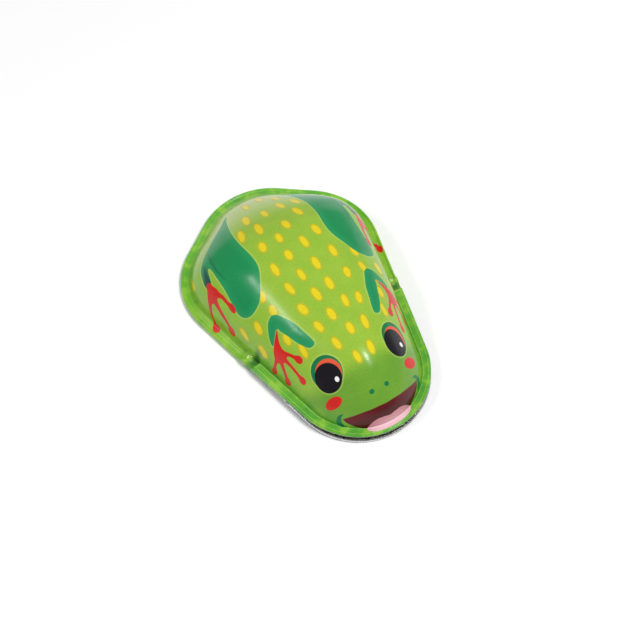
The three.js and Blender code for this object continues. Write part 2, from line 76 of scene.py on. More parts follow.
# Flange: low with a rolled hem at the rear, a raised strip with a lip in front
REAR_FLANGE_WIDTH = 2.6
FRONT_FLANGE_WIDTH = 2.45
REAR_TOP = 1.8
FRONT_TOP = 3.3
HEM_RADIUS = REAR_TOP / 2
HEM_TOP_RADIUS = 0.5
HEM_FOOT_RADIUS = 0.7
HEM_RETURN = 2.2
DISH_DEPTH = 0.26
REAR_FILLET = 1.2
FRONT_FILLET = 0.2

# Front strip: a groove beside the dome, two fine ridges, a round shoulder and the lip
GROOVE_DEPTH = 0.16
RIDGE_INSETS = (2.1, 0.78)
BETWEEN_RIDGES = (1.6, 1.25)
RIDGE_MARGIN = 0.03
RIDGE_HALF_WIDTH = 0.17
RIDGE_HEIGHT = 0.1
SHOULDER_WIDTH = RIDGE_INSETS[1] - RIDGE_HALF_WIDTH
SHOULDER_DROP = 0.35
SIDE_LIP_DROP = 2.6
NOSE_LIP_DROP = 0.5
LIP_DEEP_Y = -9
LIP_SHALLOW_Y = -23
LIP_EDGE = 0.12
LIP_CLEARANCE = 0.1
STRIP_END_Y = -7.8
UNDERSIDE_GAP = 0.05

# The edge is set back a little round the nose, from the first of these places to the second
NOSE_SETBACK = 0.25
SETBACK_Y = (-24, -32)

# The dome's foot changes from the rear flange's level and width to the front one's over this stretch.
# Beyond its foot, the wall goes on down at this much over a half width.
FOOT_CHANGE_Y = (12, -22)
WALL_FALL = 60

# Level of the flange along the side, through the pressed-in crimp and its crest: (y, z)
FLANGE_LEVEL = [
    (-8, 3.3), (-7.6, 3.3), (-7.3, 2.9), (-7, 2.5), (-6.3, 2.35), (-5.6, 2.45), (-5, 2.75),
    (-4.4, 2.85), (-3.8, 2.5), (-3.2, 2.1), (-2.4, 1.85), (-1.6, 1.8),
]
CRIMP_DIP_Y = -6.1
CRIMP_STRETCH = (-8.4, -2.4)

# Pale spots painted on the crest as painted highlights: (y, inset from the rim, area)
CRIMP_SPARKLES = [(-4.3, 1.5, 0.1), (-4, 1.9, 0.06), (-4.6, 2.2, 0.05)]
STEP_Y = -4.5
STEP_LENGTH = 1.4

# Middle line of the back, from the nose to the tail: (y, z)
BACK_LINE = [
    (-35.6, 3.3), (-35.1, 5.2), (-33.3, 8.1), (-30, 11.5), (-26, 14.4), (-20, 16.4), (-10, 17.7),
    (0, 18.4), (7, 18.6), (13, 17.9), (18, 16.1), (23, 13.4), (28, 9.9), (32.5, 5.8), (35.2, 1.8),
]
SPINE_NOSE_Y = -24
SPINE_TAIL_Y = 22

# The power of the dome's cross-section: half an ellipse at 0.5, flatter-sided above that
BACK_ROUNDNESS = 0.5
HEAD_ROUNDNESS = 0.9
HEAD_Y = (-8, -24)
TAIL_ROUNDNESS = 0.75
TAIL_Y = (19, 30)


# ---- small helpers ---------------------------------------------------------------------------

def smooth(t):
    t = np.clip(t, 0, 1)
    return t * t * (3 - 2 * t)


def between(value, start, end):
    """A smooth step from 0 at a start to 1 at an end, whichever of the two is larger."""
    return smooth((value - start) / (end - start))


def lerp(a, b, t):
    return a + (b - a) * t


def monotone_curve(knots):
    """A smooth curve through (place, value) knots that doesn't overshoot them."""
    place, value = np.array(knots, float).T
    span = np.diff(place)
    slope = np.diff(value) / span
    product, total = slope[:-1] * slope[1:], slope[:-1] + slope[1:]
    joint = np.where(product > 0, 2 * product / np.where(total == 0, 1, total), 0)
    tangent = np.concatenate([slope[:1], joint, slope[-1:]])

    def curve(at):
        at = np.clip(at, place[0], place[-1])
        i = np.clip(np.searchsorted(place, at, side="right") - 1, 0, len(span) - 1)
        t = (at - place[i]) / span[i]
        return (value[i] * (1 + 2 * t) * (1 - t) ** 2 + value[i + 1] * t * t * (3 - 2 * t)
                + tangent[i] * span[i] * t * (1 - t) ** 2 - tangent[i + 1] * span[i] * t * t * (1 - t))
    return curve


back_height = monotone_curve(BACK_LINE)
flange_level = monotone_curve(FLANGE_LEVEL)


def set_attribute(mesh, name, values):
    """Gives a mesh a number or a vector at each point, for its materials to read."""
    kind, field = ("FLOAT_VECTOR", "vector") if values.ndim == 2 else ("FLOAT", "value")
    layer = mesh.attributes.new(name, kind, "POINT")
    layer.data.foreach_set(field, values.astype(np.float32).ravel())


def close_up(mesh):
    """Joins points that coincide and turns every face outwards."""
    work = bmesh.new()
    work.from_mesh(mesh)
    bmesh.ops.remove_doubles(work, verts=work.verts, dist=1e-7)
    bmesh.ops.recalc_face_normals(work, faces=work.faces)
    work.to_mesh(mesh)
    work.free()


def new_piece(name, points, faces, materials, body, replaces, face_material=None, sharp=40,
              layers=None):
    """A mesh piece from points in millimetres, which rides on a body and stands for a CAD node."""
    mesh = bpy.data.meshes.new(name)
    mesh.from_pydata((np.asarray(points) * MM).tolist(), [], faces)
    for material in materials:
        mesh.materials.append(material)
    if face_material is not None:
        mesh.polygons.foreach_set("material_index", np.asarray(face_material, np.int32))
    for layer, values in (layers or {}).items():
        set_attribute(mesh, layer, values)
    close_up(mesh)
    mesh.polygons.foreach_set("use_smooth", np.ones(len(mesh.polygons), bool))
    mesh.set_sharp_from_angle(angle=math.radians(sharp))
    mesh.update()
    piece = bpy.data.objects.new(name, mesh)
    bpy.context.scene.collection.objects.link(piece)
    if body:
        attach(piece, body)
    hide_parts(replaces)
    return piece


# ---- outline ---------------------------------------------------------------------------------

NOSE_CENTRE = np.array([0, -LENGTH / 2 + NOSE_RADIUS])
TAIL_CENTRE = np.array([0, LENGTH / 2 - TAIL_RADIUS])
SIDE_NORMAL = np.array([math.cos(SIDE_TAPER), -math.sin(SIDE_TAPER)])
RUMP_NORMAL = np.array([math.sin(RUMP_ANGLE), math.cos(RUMP_ANGLE)])
HAUNCH_CENTRE = np.linalg.solve(
    np.array([SIDE_NORMAL, RUMP_NORMAL]),
    [NOSE_CENTRE @ SIDE_NORMAL + NOSE_RADIUS - HAUNCH_RADIUS,
     TAIL_CENTRE @ RUMP_NORMAL + TAIL_RADIUS - HAUNCH_RADIUS])


def half_width(y, inset):
    """Half width at y of the outline moved inwards by an inset."""
    def arc_x(centre, radius):
        return centre[0] + np.sqrt(np.maximum((radius - inset) ** 2 - (y - centre[1]) ** 2, 0))

    nose_end = [NOSE_CENTRE[i] + (NOSE_RADIUS - inset) * SIDE_NORMAL[i] for i in (0, 1)]
    haunch_start_y = HAUNCH_CENTRE[1] + (HAUNCH_RADIUS - inset) * SIDE_NORMAL[1]
    haunch_end = [HAUNCH_CENTRE[i] + (HAUNCH_RADIUS - inset) * RUMP_NORMAL[i] for i in (0, 1)]
    tail_start_y = TAIL_CENTRE[1] + (TAIL_RADIUS - inset) * RUMP_NORMAL[1]
    return np.select(
        [y < nose_end[1], y < haunch_start_y, y < haunch_end[1], y < tail_start_y],
        [arc_x(NOSE_CENTRE, NOSE_RADIUS), nose_end[0] + (y - nose_end[1]) * math.tan(SIDE_TAPER),
         arc_x(HAUNCH_CENTRE, HAUNCH_RADIUS), haunch_end[0] - (y - haunch_end[1]) / math.tan(RUMP_ANGLE)],
        arc_x(TAIL_CENTRE, TAIL_RADIUS))


def outline(step, fine_step):
    """The whole outline, counter-clockwise from the nose tip: points and outward normals.
    The stretches along the crimps have a finer step."""
    points, normals = [], []

    def arc(centre, radius, start, end):
        count = max(2, round(radius * abs(end - start) / step))
        for angle in np.linspace(start, end, count, endpoint=False):
            normal = np.array([math.cos(angle), math.sin(angle)])
            points.append(centre + radius * normal)
            normals.append(normal)

    arc(NOSE_CENTRE, NOSE_RADIUS, -math.pi / 2, -SIDE_TAPER)
    start = NOSE_CENTRE + NOSE_RADIUS * SIDE_NORMAL
    end = HAUNCH_CENTRE + HAUNCH_RADIUS * SIDE_NORMAL
    y = start[1]
    while y < end[1] - step / 2:
        points.append(start + (end - start) * (y - start[1]) / (end[1] - start[1]))
        normals.append(SIDE_NORMAL)
        y += fine_step if CRIMP_STRETCH[0] < y < CRIMP_STRETCH[1] else step
    arc(HAUNCH_CENTRE, HAUNCH_RADIUS, -SIDE_TAPER, math.pi / 2 - RUMP_ANGLE)
    start = HAUNCH_CENTRE + HAUNCH_RADIUS * RUMP_NORMAL
    end = TAIL_CENTRE + TAIL_RADIUS * RUMP_NORMAL
    for t in np.linspace(0, 1, round(np.linalg.norm(end - start) / step), endpoint=False):
        points.append(lerp(start, end, t))
        normals.append(RUMP_NORMAL)
    arc(TAIL_CENTRE, TAIL_RADIUS, math.pi / 2 - RUMP_ANGLE, math.pi / 2)
    points.append(np.array([0, LENGTH / 2]))
    normals.append(np.array([0, 1]))
    mirror = np.array([-1, 1])
    points, normals = np.array(points, float), np.array(normals, float)
    return (np.vstack([points, points[-2:0:-1] * mirror]),
            np.vstack([normals, normals[-2:0:-1] * mirror]))


# ---- shell surface ---------------------------------------------------------------------------

def frontness(y):
    """1 along the raised front strip, 0 along the rear flange."""
    return between(y, STEP_Y + STEP_LENGTH / 2, STEP_Y - STEP_LENGTH / 2)


def foot_blend(y):
    """0 at the haunches and 1 at the head, for the dome's foot."""
    return between(y, *FOOT_CHANGE_Y)


def flange_width(y):
    return lerp(REAR_FLANGE_WIDTH, FRONT_FLANGE_WIDTH, foot_blend(y))


def lip_drop(y):
    """Depth of the front lip: deep beside the hinge, short round the nose."""
    return lerp(NOSE_LIP_DROP, SIDE_LIP_DROP, between(y, LIP_SHALLOW_Y, LIP_DEEP_Y))


def dome_height(x, y):
    """Height of the dome: half an ellipse across the body, with flatter sides on the head and tail.
    Beyond its foot the wall goes on down steeply."""
    foot = lerp(REAR_TOP, FRONT_TOP, foot_blend(y))
    reach = np.maximum(np.abs(x), 0.01) / np.maximum(half_width(y, flange_width(y)), 1e-6)
    roundness = (BACK_ROUNDNESS + (HEAD_ROUNDNESS - BACK_ROUNDNESS) * between(y, *HEAD_Y)
                 + (TAIL_ROUNDNESS - BACK_ROUNDNESS) * between(y, *TAIL_Y))
    rise = (1 - np.clip(reach, 0, 1) ** 2) ** roundness
    return foot + np.maximum(back_height(y) - foot, 0) * rise - WALL_FALL * np.maximum(reach - 1, 0)


def dome_normal(x, y):
    """The dome's unit normal, from its heights a small step away."""
    h = 0.02
    normal = np.stack([dome_height(x - h, y) - dome_height(x + h, y),
                       dome_height(x, y - h) - dome_height(x, y + h),
                       np.full_like(x, 2 * h)], -1)
    return normal / np.linalg.norm(normal, axis=-1, keepdims=True)


DOME_RINGS = 82
SKIRT_HEIGHT = 1.5
SKIRT_Y = (4, -4)
SKIRT_RINGS = 5
FILLET_STEPS = 5
INNER_RINGS = 26


class ShellSections:
    """Cross-sections of the shell, one for each outline station, from the spine over the dome,
    round the flange's edge and back inside."""

    def __init__(self, step, fine_step):
        self.rim, self.normal = outline(step, fine_step)
        y = self.rim[:, 1]
        along = (y + LENGTH / 2) / LENGTH
        spine_y = lerp(SPINE_NOSE_Y, SPINE_TAIL_Y, along)
        self.spine = np.stack([np.zeros_like(y), spine_y], -1)

        # Each section runs straight from the spine to the rim, and meets the rim at some slant
        ray = self.rim - self.spine
        self.reach = np.linalg.norm(ray, axis=1)
        self.direction = ray / self.reach[:, None]
        self.slant = np.sum(self.direction * self.normal, axis=1)
        self.front = frontness(y)
        self.top = flange_level(y)
        self.width = flange_width(y)
        self.setback = NOSE_SETBACK * between(y, *SETBACK_Y)
        self.lip = np.maximum(self.top - lip_drop(y), LIP_CLEARANCE)
        self.outer = self.outer_skin()
        self.inner = self.inner_skin()

    def plan(self, inset):
        """Plan position at an inset from the rim, for each station."""
        return self.rim - self.direction * (inset / self.slant)[:, None]

    def drawn_in(self, inset):
        """The strip's insets, with its edge set back a little round the nose."""
        return inset + self.setback * (1 - inset / FRONT_FLANGE_WIDTH)

    def dome_crossing(self, level):
        """Inset at which the dome comes down to a level."""
        low, high = np.zeros_like(level), np.ones_like(level)
        for _ in range(30):
            middle = (low + high) / 2
            place = self.spine + self.direction * (middle * self.reach)[:, None]
            above = dome_height(place[:, 0], place[:, 1]) > level
            low, high = np.where(above, middle, low), np.where(above, high, middle)
        return (1 - low) * self.reach * self.slant

    def lifted(self, inset, z):
        """A column of points at an inset and a height, for each station."""
        return np.column_stack([self.plan(inset), z])

    def outer_skin(self):
        """Columns of points from the spine to the underside of the edge."""
        dome, flange_start = self.dome_part()
        self.ridges = [np.zeros(len(self.rim)) for _ in dome]
        return np.stack(dome + self.flange_part(flange_start) + self.edge_part(), 1)

    def dome_part(self):
        """The dome and the fillet at its foot; also the inset where the flange starts."""
        front, top = self.front, self.top
        floor = top - GROOVE_DEPTH * front
        fillet = lerp(REAR_FILLET, FRONT_FILLET, front)
        corner = self.dome_crossing(floor + 0.02)
        start = self.dome_crossing(floor + fillet)

        # The rings end at a level that changes slowly along the body, then a few follow the fillet
        y = self.rim[:, 1]
        skirt = self.dome_crossing(lerp(REAR_TOP, FRONT_TOP, between(y, *SKIRT_Y)) + SKIRT_HEIGHT)
        rings = [skirt + (self.reach * self.slant - skirt) * (1 - math.sin(t * math.pi / 2))
                 for t in np.linspace(0, 1, DOME_RINGS)]
        rings += [lerp(skirt, start, t) for t in np.linspace(0, 1, SKIRT_RINGS + 1)[1:]]
        columns = []
        for ring in rings:
            place = self.plan(ring)
            columns.append(np.column_stack([place, dome_height(place[:, 0], place[:, 1])]))
        first_ridge = RIDGE_INSETS[0] + RIDGE_HALF_WIDTH + RIDGE_MARGIN
        flange_start = np.maximum(corner - fillet, first_ridge * front)
        for t in np.arange(1, FILLET_STEPS + 1) / FILLET_STEPS:
            inset = (1 - t) ** 2 * start + 2 * t * (1 - t) * corner + t * t * flange_start
            columns.append(self.lifted(inset, floor + fillet * (1 - t) ** 2))
        return columns, flange_start

    def flange_part(self, flange_start):
        """Two fine ridges on the front strip, which also run across its end, and a shallow dish at
        the rear."""
        front, top, y = self.front, self.top, self.rim[:, 1]
        across = RIDGE_HALF_WIDTH * np.array([1, 0.7, 0.35, 0, -0.35, -0.7, -1])
        front_insets = [*(RIDGE_INSETS[0] + across), *BETWEEN_RIDGES, *(RIDGE_INSETS[1] + across)]
        strip_end = np.maximum(1 - ((y - STRIP_END_Y) / RIDGE_HALF_WIDTH / 1.5) ** 2, 0) ** 2
        columns = []
        for i, front_inset in enumerate(front_insets):
            ridge = sum(max(1 - ((front_inset - crest) / RIDGE_HALF_WIDTH) ** 2, 0) ** 2
                        for crest in RIDGE_INSETS)
            ridge = np.maximum(ridge, strip_end) * front
            groove = GROOVE_DEPTH * (1 if i == 0 else 0)
            front_z = top - groove + RIDGE_HEIGHT * ridge
            t = (i + 1) / len(front_insets)
            rear_z = top - DISH_DEPTH * math.sin(math.pi * t)
            front_inset = self.drawn_in(front_inset)
            columns.append(self.lifted(lerp(lerp(flange_start, HEM_TOP_RADIUS, t), front_inset, front),
                                       lerp(rear_z, front_z, front)))
            self.ridges.append(ridge * (y < STRIP_END_Y + 0.2))
        return columns

    def edge_part(self):
        """The edge, rolled round into the hem at the rear, and over the shoulder and down the lip
        in front."""
        front, top, lip = self.front, self.top, self.lip
        rear, strip = [], []
        for turn in math.pi / 2 * (1 - np.arange(7) / 6):
            round_in, round_down = 1 - math.cos(turn), 1 - math.sin(turn)
            rear.append((HEM_TOP_RADIUS * round_in, top - HEM_TOP_RADIUS * round_down))
            strip.append((SHOULDER_WIDTH * round_in, top - SHOULDER_DROP * round_down))
        for turn in -math.pi / 2 * np.arange(6) / 5:
            rear.append((HEM_FOOT_RADIUS * (1 - math.cos(turn)),
                         top - REAR_TOP + HEM_FOOT_RADIUS * (1 + math.sin(turn))))
        for t in (1 / 3, 2 / 3):
            strip.append((0, lerp(top - SHOULDER_DROP, lip + LIP_EDGE, t)))
        for turn in math.pi * (1 + np.arange(4) / 3):
            strip.append((SHEET / 2 * (1 + math.cos(turn)), lip + LIP_EDGE * (1 + math.sin(turn))))
        columns = []
        for (rear_inset, rear_z), (front_inset, front_z) in zip(rear, strip):
            front_inset = self.drawn_in(front_inset)
            columns.append(self.lifted(lerp(rear_inset, front_inset, front), lerp(rear_z, front_z, front)))
            self.ridges.append(np.zeros_like(top))
        return columns

    def inner_skin(self):
        """Columns of points from inside the edge, under the flange and up to the spine."""
        front, top, lip = self.front, self.top, self.lip
        inner_radius = HEM_RADIUS - SHEET
        shoulder = SHOULDER_WIDTH - 0.2
        under = top - SHEET - (GROOVE_DEPTH + UNDERSIDE_GAP) * front
        rear = [(HEM_RETURN - 0.5, 0.02), (HEM_RETURN, 0.1), (HEM_RETURN, 0.32), (HEM_RETURN - 0.5, SHEET)]
        for angle in np.linspace(-math.pi / 2, math.pi / 2, 7):
            rear.append((HEM_RADIUS - inner_radius * math.cos(angle),
                         HEM_RADIUS + inner_radius * math.sin(angle)))
        columns = []
        for i, (rear_inset, rear_z) in enumerate(rear):
            t = (i + 1) / len(rear)
            front_z = lerp(lip + LIP_EDGE, under, t)
            front_inset = self.drawn_in(SHEET + shoulder * max(t - 0.7, 0) / 0.3)
            columns.append(self.lifted(lerp(rear_inset, front_inset, front), lerp(rear_z, front_z, front)))
        root = self.width + SHEET
        for t in (0.5, 1):
            inset = lerp(lerp(HEM_RADIUS, SHEET + shoulder, front), root, t)
            columns.append(self.lifted(inset, lerp(top - SHEET, under, front)))
        last = self.reach - root / self.slant
        for t in np.linspace(1, 0, INNER_RINGS, endpoint=False)[1:].tolist() + [0]:
            place = self.spine + self.direction * (last * math.sin(t * math.pi / 2))[:, None]
            x, y = place[:, 0], place[:, 1]
            columns.append(np.column_stack([x, y, dome_height(x, y)]) - SHEET * dome_normal(x, y))
        return np.stack(columns, 1)

    def flat_sheet(self):
        """Places of the outer skin's points on the flat printed sheet: the spine and each section
        are rolled out at their true lengths."""
        spine_place = np.linspace(BACK_LINE[0][0], BACK_LINE[-1][0], 2000)
        spine_z = back_height(spine_place)
        length = np.concatenate([[0], np.cumsum(np.hypot(np.diff(spine_place), np.diff(spine_z)))])
        length -= np.interp(0, spine_place, length)
        start = np.interp(self.spine[:, 1], spine_place, length)
        run = np.linalg.norm(np.diff(self.outer, axis=1), axis=2)
        run = np.concatenate([np.zeros((len(run), 1)), np.cumsum(run, axis=1)], axis=1)
        flat = self.direction[:, None, :] * run[:, :, None]
        flat[:, :, 1] += start[:, None]
        return flat


# ---- artwork: signed distances on the flat sheet, negative inside a shape --------------------

# The distance that stands for anywhere that isn't near a shape
FAR = 10.0


def ellipse(place, centre, radii, lean=0.0):
    """An ellipse whose upright axis leans by some degrees."""
    c, s = math.cos(math.radians(lean)), math.sin(math.radians(lean))
    x, y = place[:, 0] - centre[0], place[:, 1] - centre[1]
    px, py = (c * x + s * y) / radii[0], (c * y - s * x) / radii[1]
    size = np.hypot(px, py)
    slope = np.hypot(px / radii[0], py / radii[1])
    return size * (size - 1) / np.maximum(slope, 1e-6)


def limb(place, joints):
    """A limb of round joints (x, y, radius), each tapering into the next."""
    best = np.full(len(place), 1e3)
    for (ax, ay, ar), (bx, by, br) in zip(joints[:-1], joints[1:]):
        along = np.array([bx - ax, by - ay])
        off = place - np.array([ax, ay])
        t = np.clip(off @ along / (along @ along), 0, 1)
        best = np.minimum(best, np.linalg.norm(off - t[:, None] * along, axis=1) - lerp(ar, br, t))
    return best


def soft_union(a, b, reach):
    """The nearer of two shapes, with their corner filled over a reach."""
    h = np.clip(reach - np.abs(a - b), 0, None) / reach
    return np.minimum(a, b) - h * h * reach / 4


def closed_curve(knots, steps=8):
    """A closed smooth curve through the knots."""
    knots = np.array(knots, float)
    before, after, beyond = np.roll(knots, 1, 0), np.roll(knots, -1, 0), np.roll(knots, -2, 0)
    curve = []
    for t in np.arange(steps) / steps:
        curve.append(0.5 * (2 * knots + (after - before) * t
                            + (2 * before - 5 * knots + 4 * after - beyond) * t ** 2
                            + (3 * knots - before - 3 * after + beyond) * t ** 3))
    return np.stack(curve, 1).reshape(-1, 2)


def polygon(place, corners):
    """Signed distance to a closed polygon, measured only near it."""
    corners = np.asarray(corners, float)
    distance = np.full(len(place), FAR)
    near = np.all((place > corners.min(0) - 3) & (place < corners.max(0) + 3), axis=1)
    p = place[near]
    best = np.full(len(p), 1e6)
    inside = np.zeros(len(p), bool)
    for a, b in zip(corners, np.roll(corners, -1, 0)):
        edge, off = b - a, p - a
        t = np.clip(off @ edge / max(edge @ edge, 1e-12), 0, 1)
        best = np.minimum(best, np.sum((off - t[:, None] * edge) ** 2, axis=1))
        crosses = (a[1] > p[:, 1]) != (b[1] > p[:, 1])
        at_x = a[0] + (p[:, 1] - a[1]) * edge[0] / (edge[1] if edge[1] else 1e-12)
        inside ^= crosses & (p[:, 0] < at_x)
    distance[near] = np.sqrt(best) * np.where(inside, -1, 1)
    return distance


# The print sits slightly turned on the shell
PRINT_TURN = math.radians(1.4)

# Hind leg, drawn for the +X side: thigh and shank outline, then the foot
THIGH = [
    (8.5, 33.6), (9.6, 29.8), (10.5, 22.3), (10.5, 17), (9.8, 11), (10, 7.8), (11.4, 4.8), (13.8, 1.3),
    (16.9, 0), (19.4, 0.6), (20.7, 2.6), (20.4, 6), (19.9, 10), (20, 16.5), (20.8, 17.2), (22.1, 13.4),
    (24, 14), (23.3, 17.8), (22, 20.2), (19, 23), (15.8, 25.8), (12.3, 29.4),
]
THIGH_CREASE = [(18.4, 21.8, 0.05), (18.9, 18.2, 0.2), (18.9, 14.8, 0.2), (18.3, 11.5, 0.05)]
SHANK_SHADE = [(21.3, 19, 0.3), (23, 14.4, 1.5)]
FOOT = [
    [(23.1, 13.6, 1), (23.4, 11.8, 1.7)],
    [(22.6, 11.3, 0.8), (21.6, 8.8, 0.5), (21.3, 5.6, 0.45)],
    [(24, 10.8, 0.9), (24.8, 7.8, 0.6), (25.6, 4.4, 0.5), (26.4, 2.8, 0.6)],
    [(24.6, 11.8, 1), (26.8, 10.8, 0.6), (29.2, 9.7, 0.5), (30.5, 8.5, 0.45), (30.8, 7.5, 0.5)],
]
FOOT_TIPS = [((21.2, 5.1), (0.85, 1.4), 0), ((26.6, 2.5), (1.3, 1.35), 30), ((30.9, 7.1), (0.95, 1.2), 0)]

# Front leg and hand, drawn for the +X side
FRONT_LEG = [
    (15.5, -4.5), (14.6, -3.9), (13.5, -3.6), (12.3, -4.3), (11.1, -6.2), (9.9, -8.5), (9.1, -11.3),
    (8.4, -13.8), (8.4, -15.2), (9.9, -15.3), (11.1, -13.9), (12, -12.2), (12.9, -9.9), (13.7, -8.1),
    (14.3, -6.9), (16, -8.1), (17.6, -9.3), (17.8, -8.5), (17, -6.6),
]
HAND = [
    [(14.2, -6.9, 0.05), (16.2, -9.2, 0.7), (17.6, -11.3, 1.55)],
    [(18.4, -11.8, 0.8), (20.5, -12.5, 0.45), (22.6, -13.2, 0.5)],
    [(18.3, -12.5, 0.7), (19.6, -15.3, 0.45), (20.9, -17.6, 0.5)],
    [(17.4, -12.8, 0.7), (16.9, -15.5, 0.42), (16.6, -19.8, 0.45)],
    [(16.7, -12, 0.7), (15.3, -13.5, 0.42), (14.1, -15.5, 0.5)],
]
HAND_TIPS = [
    ((22.8, -13.4), (1.3, 0.9), 0), ((21, -17.9), (1, 1.1), 20), ((16.6, -20.2), (0.9, 1.1), 0),
    ((14, -15.8), (0.95, 1.1), -15),
]

# Spots of the back, column by column, and those of the flanks, drawn for the +X side
SPOTS = [
    [(-9, 19), (-6.5, 12), (-7, 5), (-6.5, -1), (-6.5, -7), (-5.5, -12.5), (-4, -18)],
    [(-2.5, 31.5), (-5.5, 24), (-4.5, 18), (-2, 12), (-2.5, 6.5), (-2.5, 0.5), (-2, -5.5), (-1.5, -11.5),
     (0.5, -16.5), (-1.5, -23)],
    [(2.5, 32.5), (-0.5, 23), (1.5, 15), (2.5, 8), (2, 1.5), (2, -4.5), (3, -10), (4.5, -16.5), (2.5, -22.5)],
    [(6, 29), (4.5, 23.5), (6.5, 18), (7, 10), (7.5, 3), (7.5, -3.5), (6.5, -10.5)],
    [(8.7, 23)],
]
FLANK_SPOTS = [
    (13, 1.6), (12.6, -3), (18.3, -3.4), (23.2, -1.3), (21.6, -8), (13.5, -10.4), (11.7, -14.9), (28, 20),
]
SPOT_RADII = np.array((0.95, 1.75))
SPOT_SPREAD = 0.13
FLANK_SPOT_LEAN = 6

# Each eye is three discs set off from one another, and a highlight
EYE = np.array((10.2, -23.5))
EYE_RADII = (3.6, 3.6)
IRIS_RADII = (3.5, 3.45)
LID_RADII = (4.15, 4.15)
GLINT_RADII = (0.58, 0.66)

CHEEK = ((12.5, -29.2), (2.55, 1.45))
NOSTRIL = ((2.3, -31.7), (0.72, 0.6))

# The mouth and the tongue are half outlines, and a crescent marks the mouth's corner
MOUTH_SHIFT = 0.3
MOUTH = [
    (0, -35.9), (5, -35.5), (10, -34.6), (13.1, -33.85), (12.7, -35.4), (11, -37.7), (8.4, -40.2),
    (6, -41.4), (0, -42.2),
]
TONGUE = [
    (0, -39.4), (1.8, -39.1), (4.2, -38.8), (6.6, -39.2), (8.5, -40.2), (7.4, -41.5), (4.5, -42.7),
    (0, -43.2),
]
CORNER_DISC = ((12.9, -34.45), (2.1, 2))
CORNER_BITE = ((11.8, -34.85), (1.75, 1.9))


def mirrored(half):
    """A closed outline from its +X half, which starts and ends on the middle line."""
    return half + [(-x, y) for x, y in half[-2:0:-1]]


def artwork(flat):
    """Signed distances, in millimetres, to the printed shapes at places on the flat sheet."""
    c, s = math.cos(PRINT_TURN), math.sin(PRINT_TURN)
    place = np.column_stack([c * flat[:, 0] - s * flat[:, 1], c * flat[:, 1] + s * flat[:, 0]])
    side = np.column_stack([np.abs(place[:, 0]), place[:, 1]])
    left = np.sign(place[:, 0])

    thigh = polygon(side, closed_curve(THIGH))
    legs = np.minimum(thigh, polygon(side, closed_curve(FRONT_LEG)))
    red = np.full(len(side), FAR)
    for limbs, tips in ((FOOT, FOOT_TIPS), (HAND, HAND_TIPS)):
        for joints in limbs:
            red = soft_union(red, limb(side, joints), 0.9)
        for centre, radii, lean in tips:
            red = soft_union(red, ellipse(side, centre, radii, lean), 0.5)
    red = np.minimum(red, ellipse(side, *CHEEK))

    spots = np.full(len(side), FAR)
    rng = np.random.default_rng(7)
    for grid, centres in ((place, sum(SPOTS, [])), (side, FLANK_SPOTS)):
        for x, y in centres:
            # Spots are longer towards the tail, and fan out from the middle line
            width, length = SPOT_RADII * (1 + SPOT_SPREAD * rng.uniform(-1, 1, 2))
            length *= 1 + 0.3 * between(y, 10, 22)
            fanned = x * lerp(1.2, -2.2, between(y, 14, -8))
            lean = fanned if grid is place else FLANK_SPOT_LEAN
            spots = np.minimum(spots, ellipse(grid, (x, y), (width, length), lean))

    # The eyes' discs are set off to the toy's left, so the shifts change sign with the side
    up = np.ones(len(side))
    iris_shift = np.column_stack([0.7 * left, 0.85 * up])
    lid_shift = np.column_stack([0.5 * left + 0.15, 1.25 * up])
    glint_shift = np.column_stack([1.85 * left, 0.3 * left - 1.05])
    black = ellipse(side, EYE, EYE_RADII)
    orange = ellipse(side - iris_shift, EYE, IRIS_RADII)
    lid = ellipse(side - lid_shift, EYE, LID_RADII)
    white = ellipse(side - glint_shift, EYE, GLINT_RADII)
    corner = np.maximum(ellipse(side, *CORNER_DISC), -ellipse(side, *CORNER_BITE))
    dark = np.minimum(np.minimum(lid, corner), ellipse(side, *NOSTRIL))

    middle = place - np.array([MOUTH_SHIFT, 0])
    mouth = polygon(middle, mirrored(MOUTH))
    tongue = polygon(middle, closed_curve(mirrored(TONGUE), 4))
    return {
        "sheet": place,
        "legs": legs,
        "crease": limb(side, THIGH_CREASE),
        "shank": limb(side, SHANK_SHADE),
        "lid": lid,
        "red": red,
        "spots": spots,
        "dark": dark,
        "orange": orange,
        "black": black,
        "white": white,
        "mouth": mouth,
        "tongue": tongue,
    }


# ---- materials -------------------------------------------------------------------------------

PRINT_BLUR = 0.07


def srgb(red, green, blue):
    """A colour given as screen values from 0 to 255."""
    def linear(value):
        value /= 255
        return value / 12.92 if value <= 0.04045 else ((value + 0.055) / 1.055) ** 2.4
    return (linear(red), linear(green), linear(blue), 1)


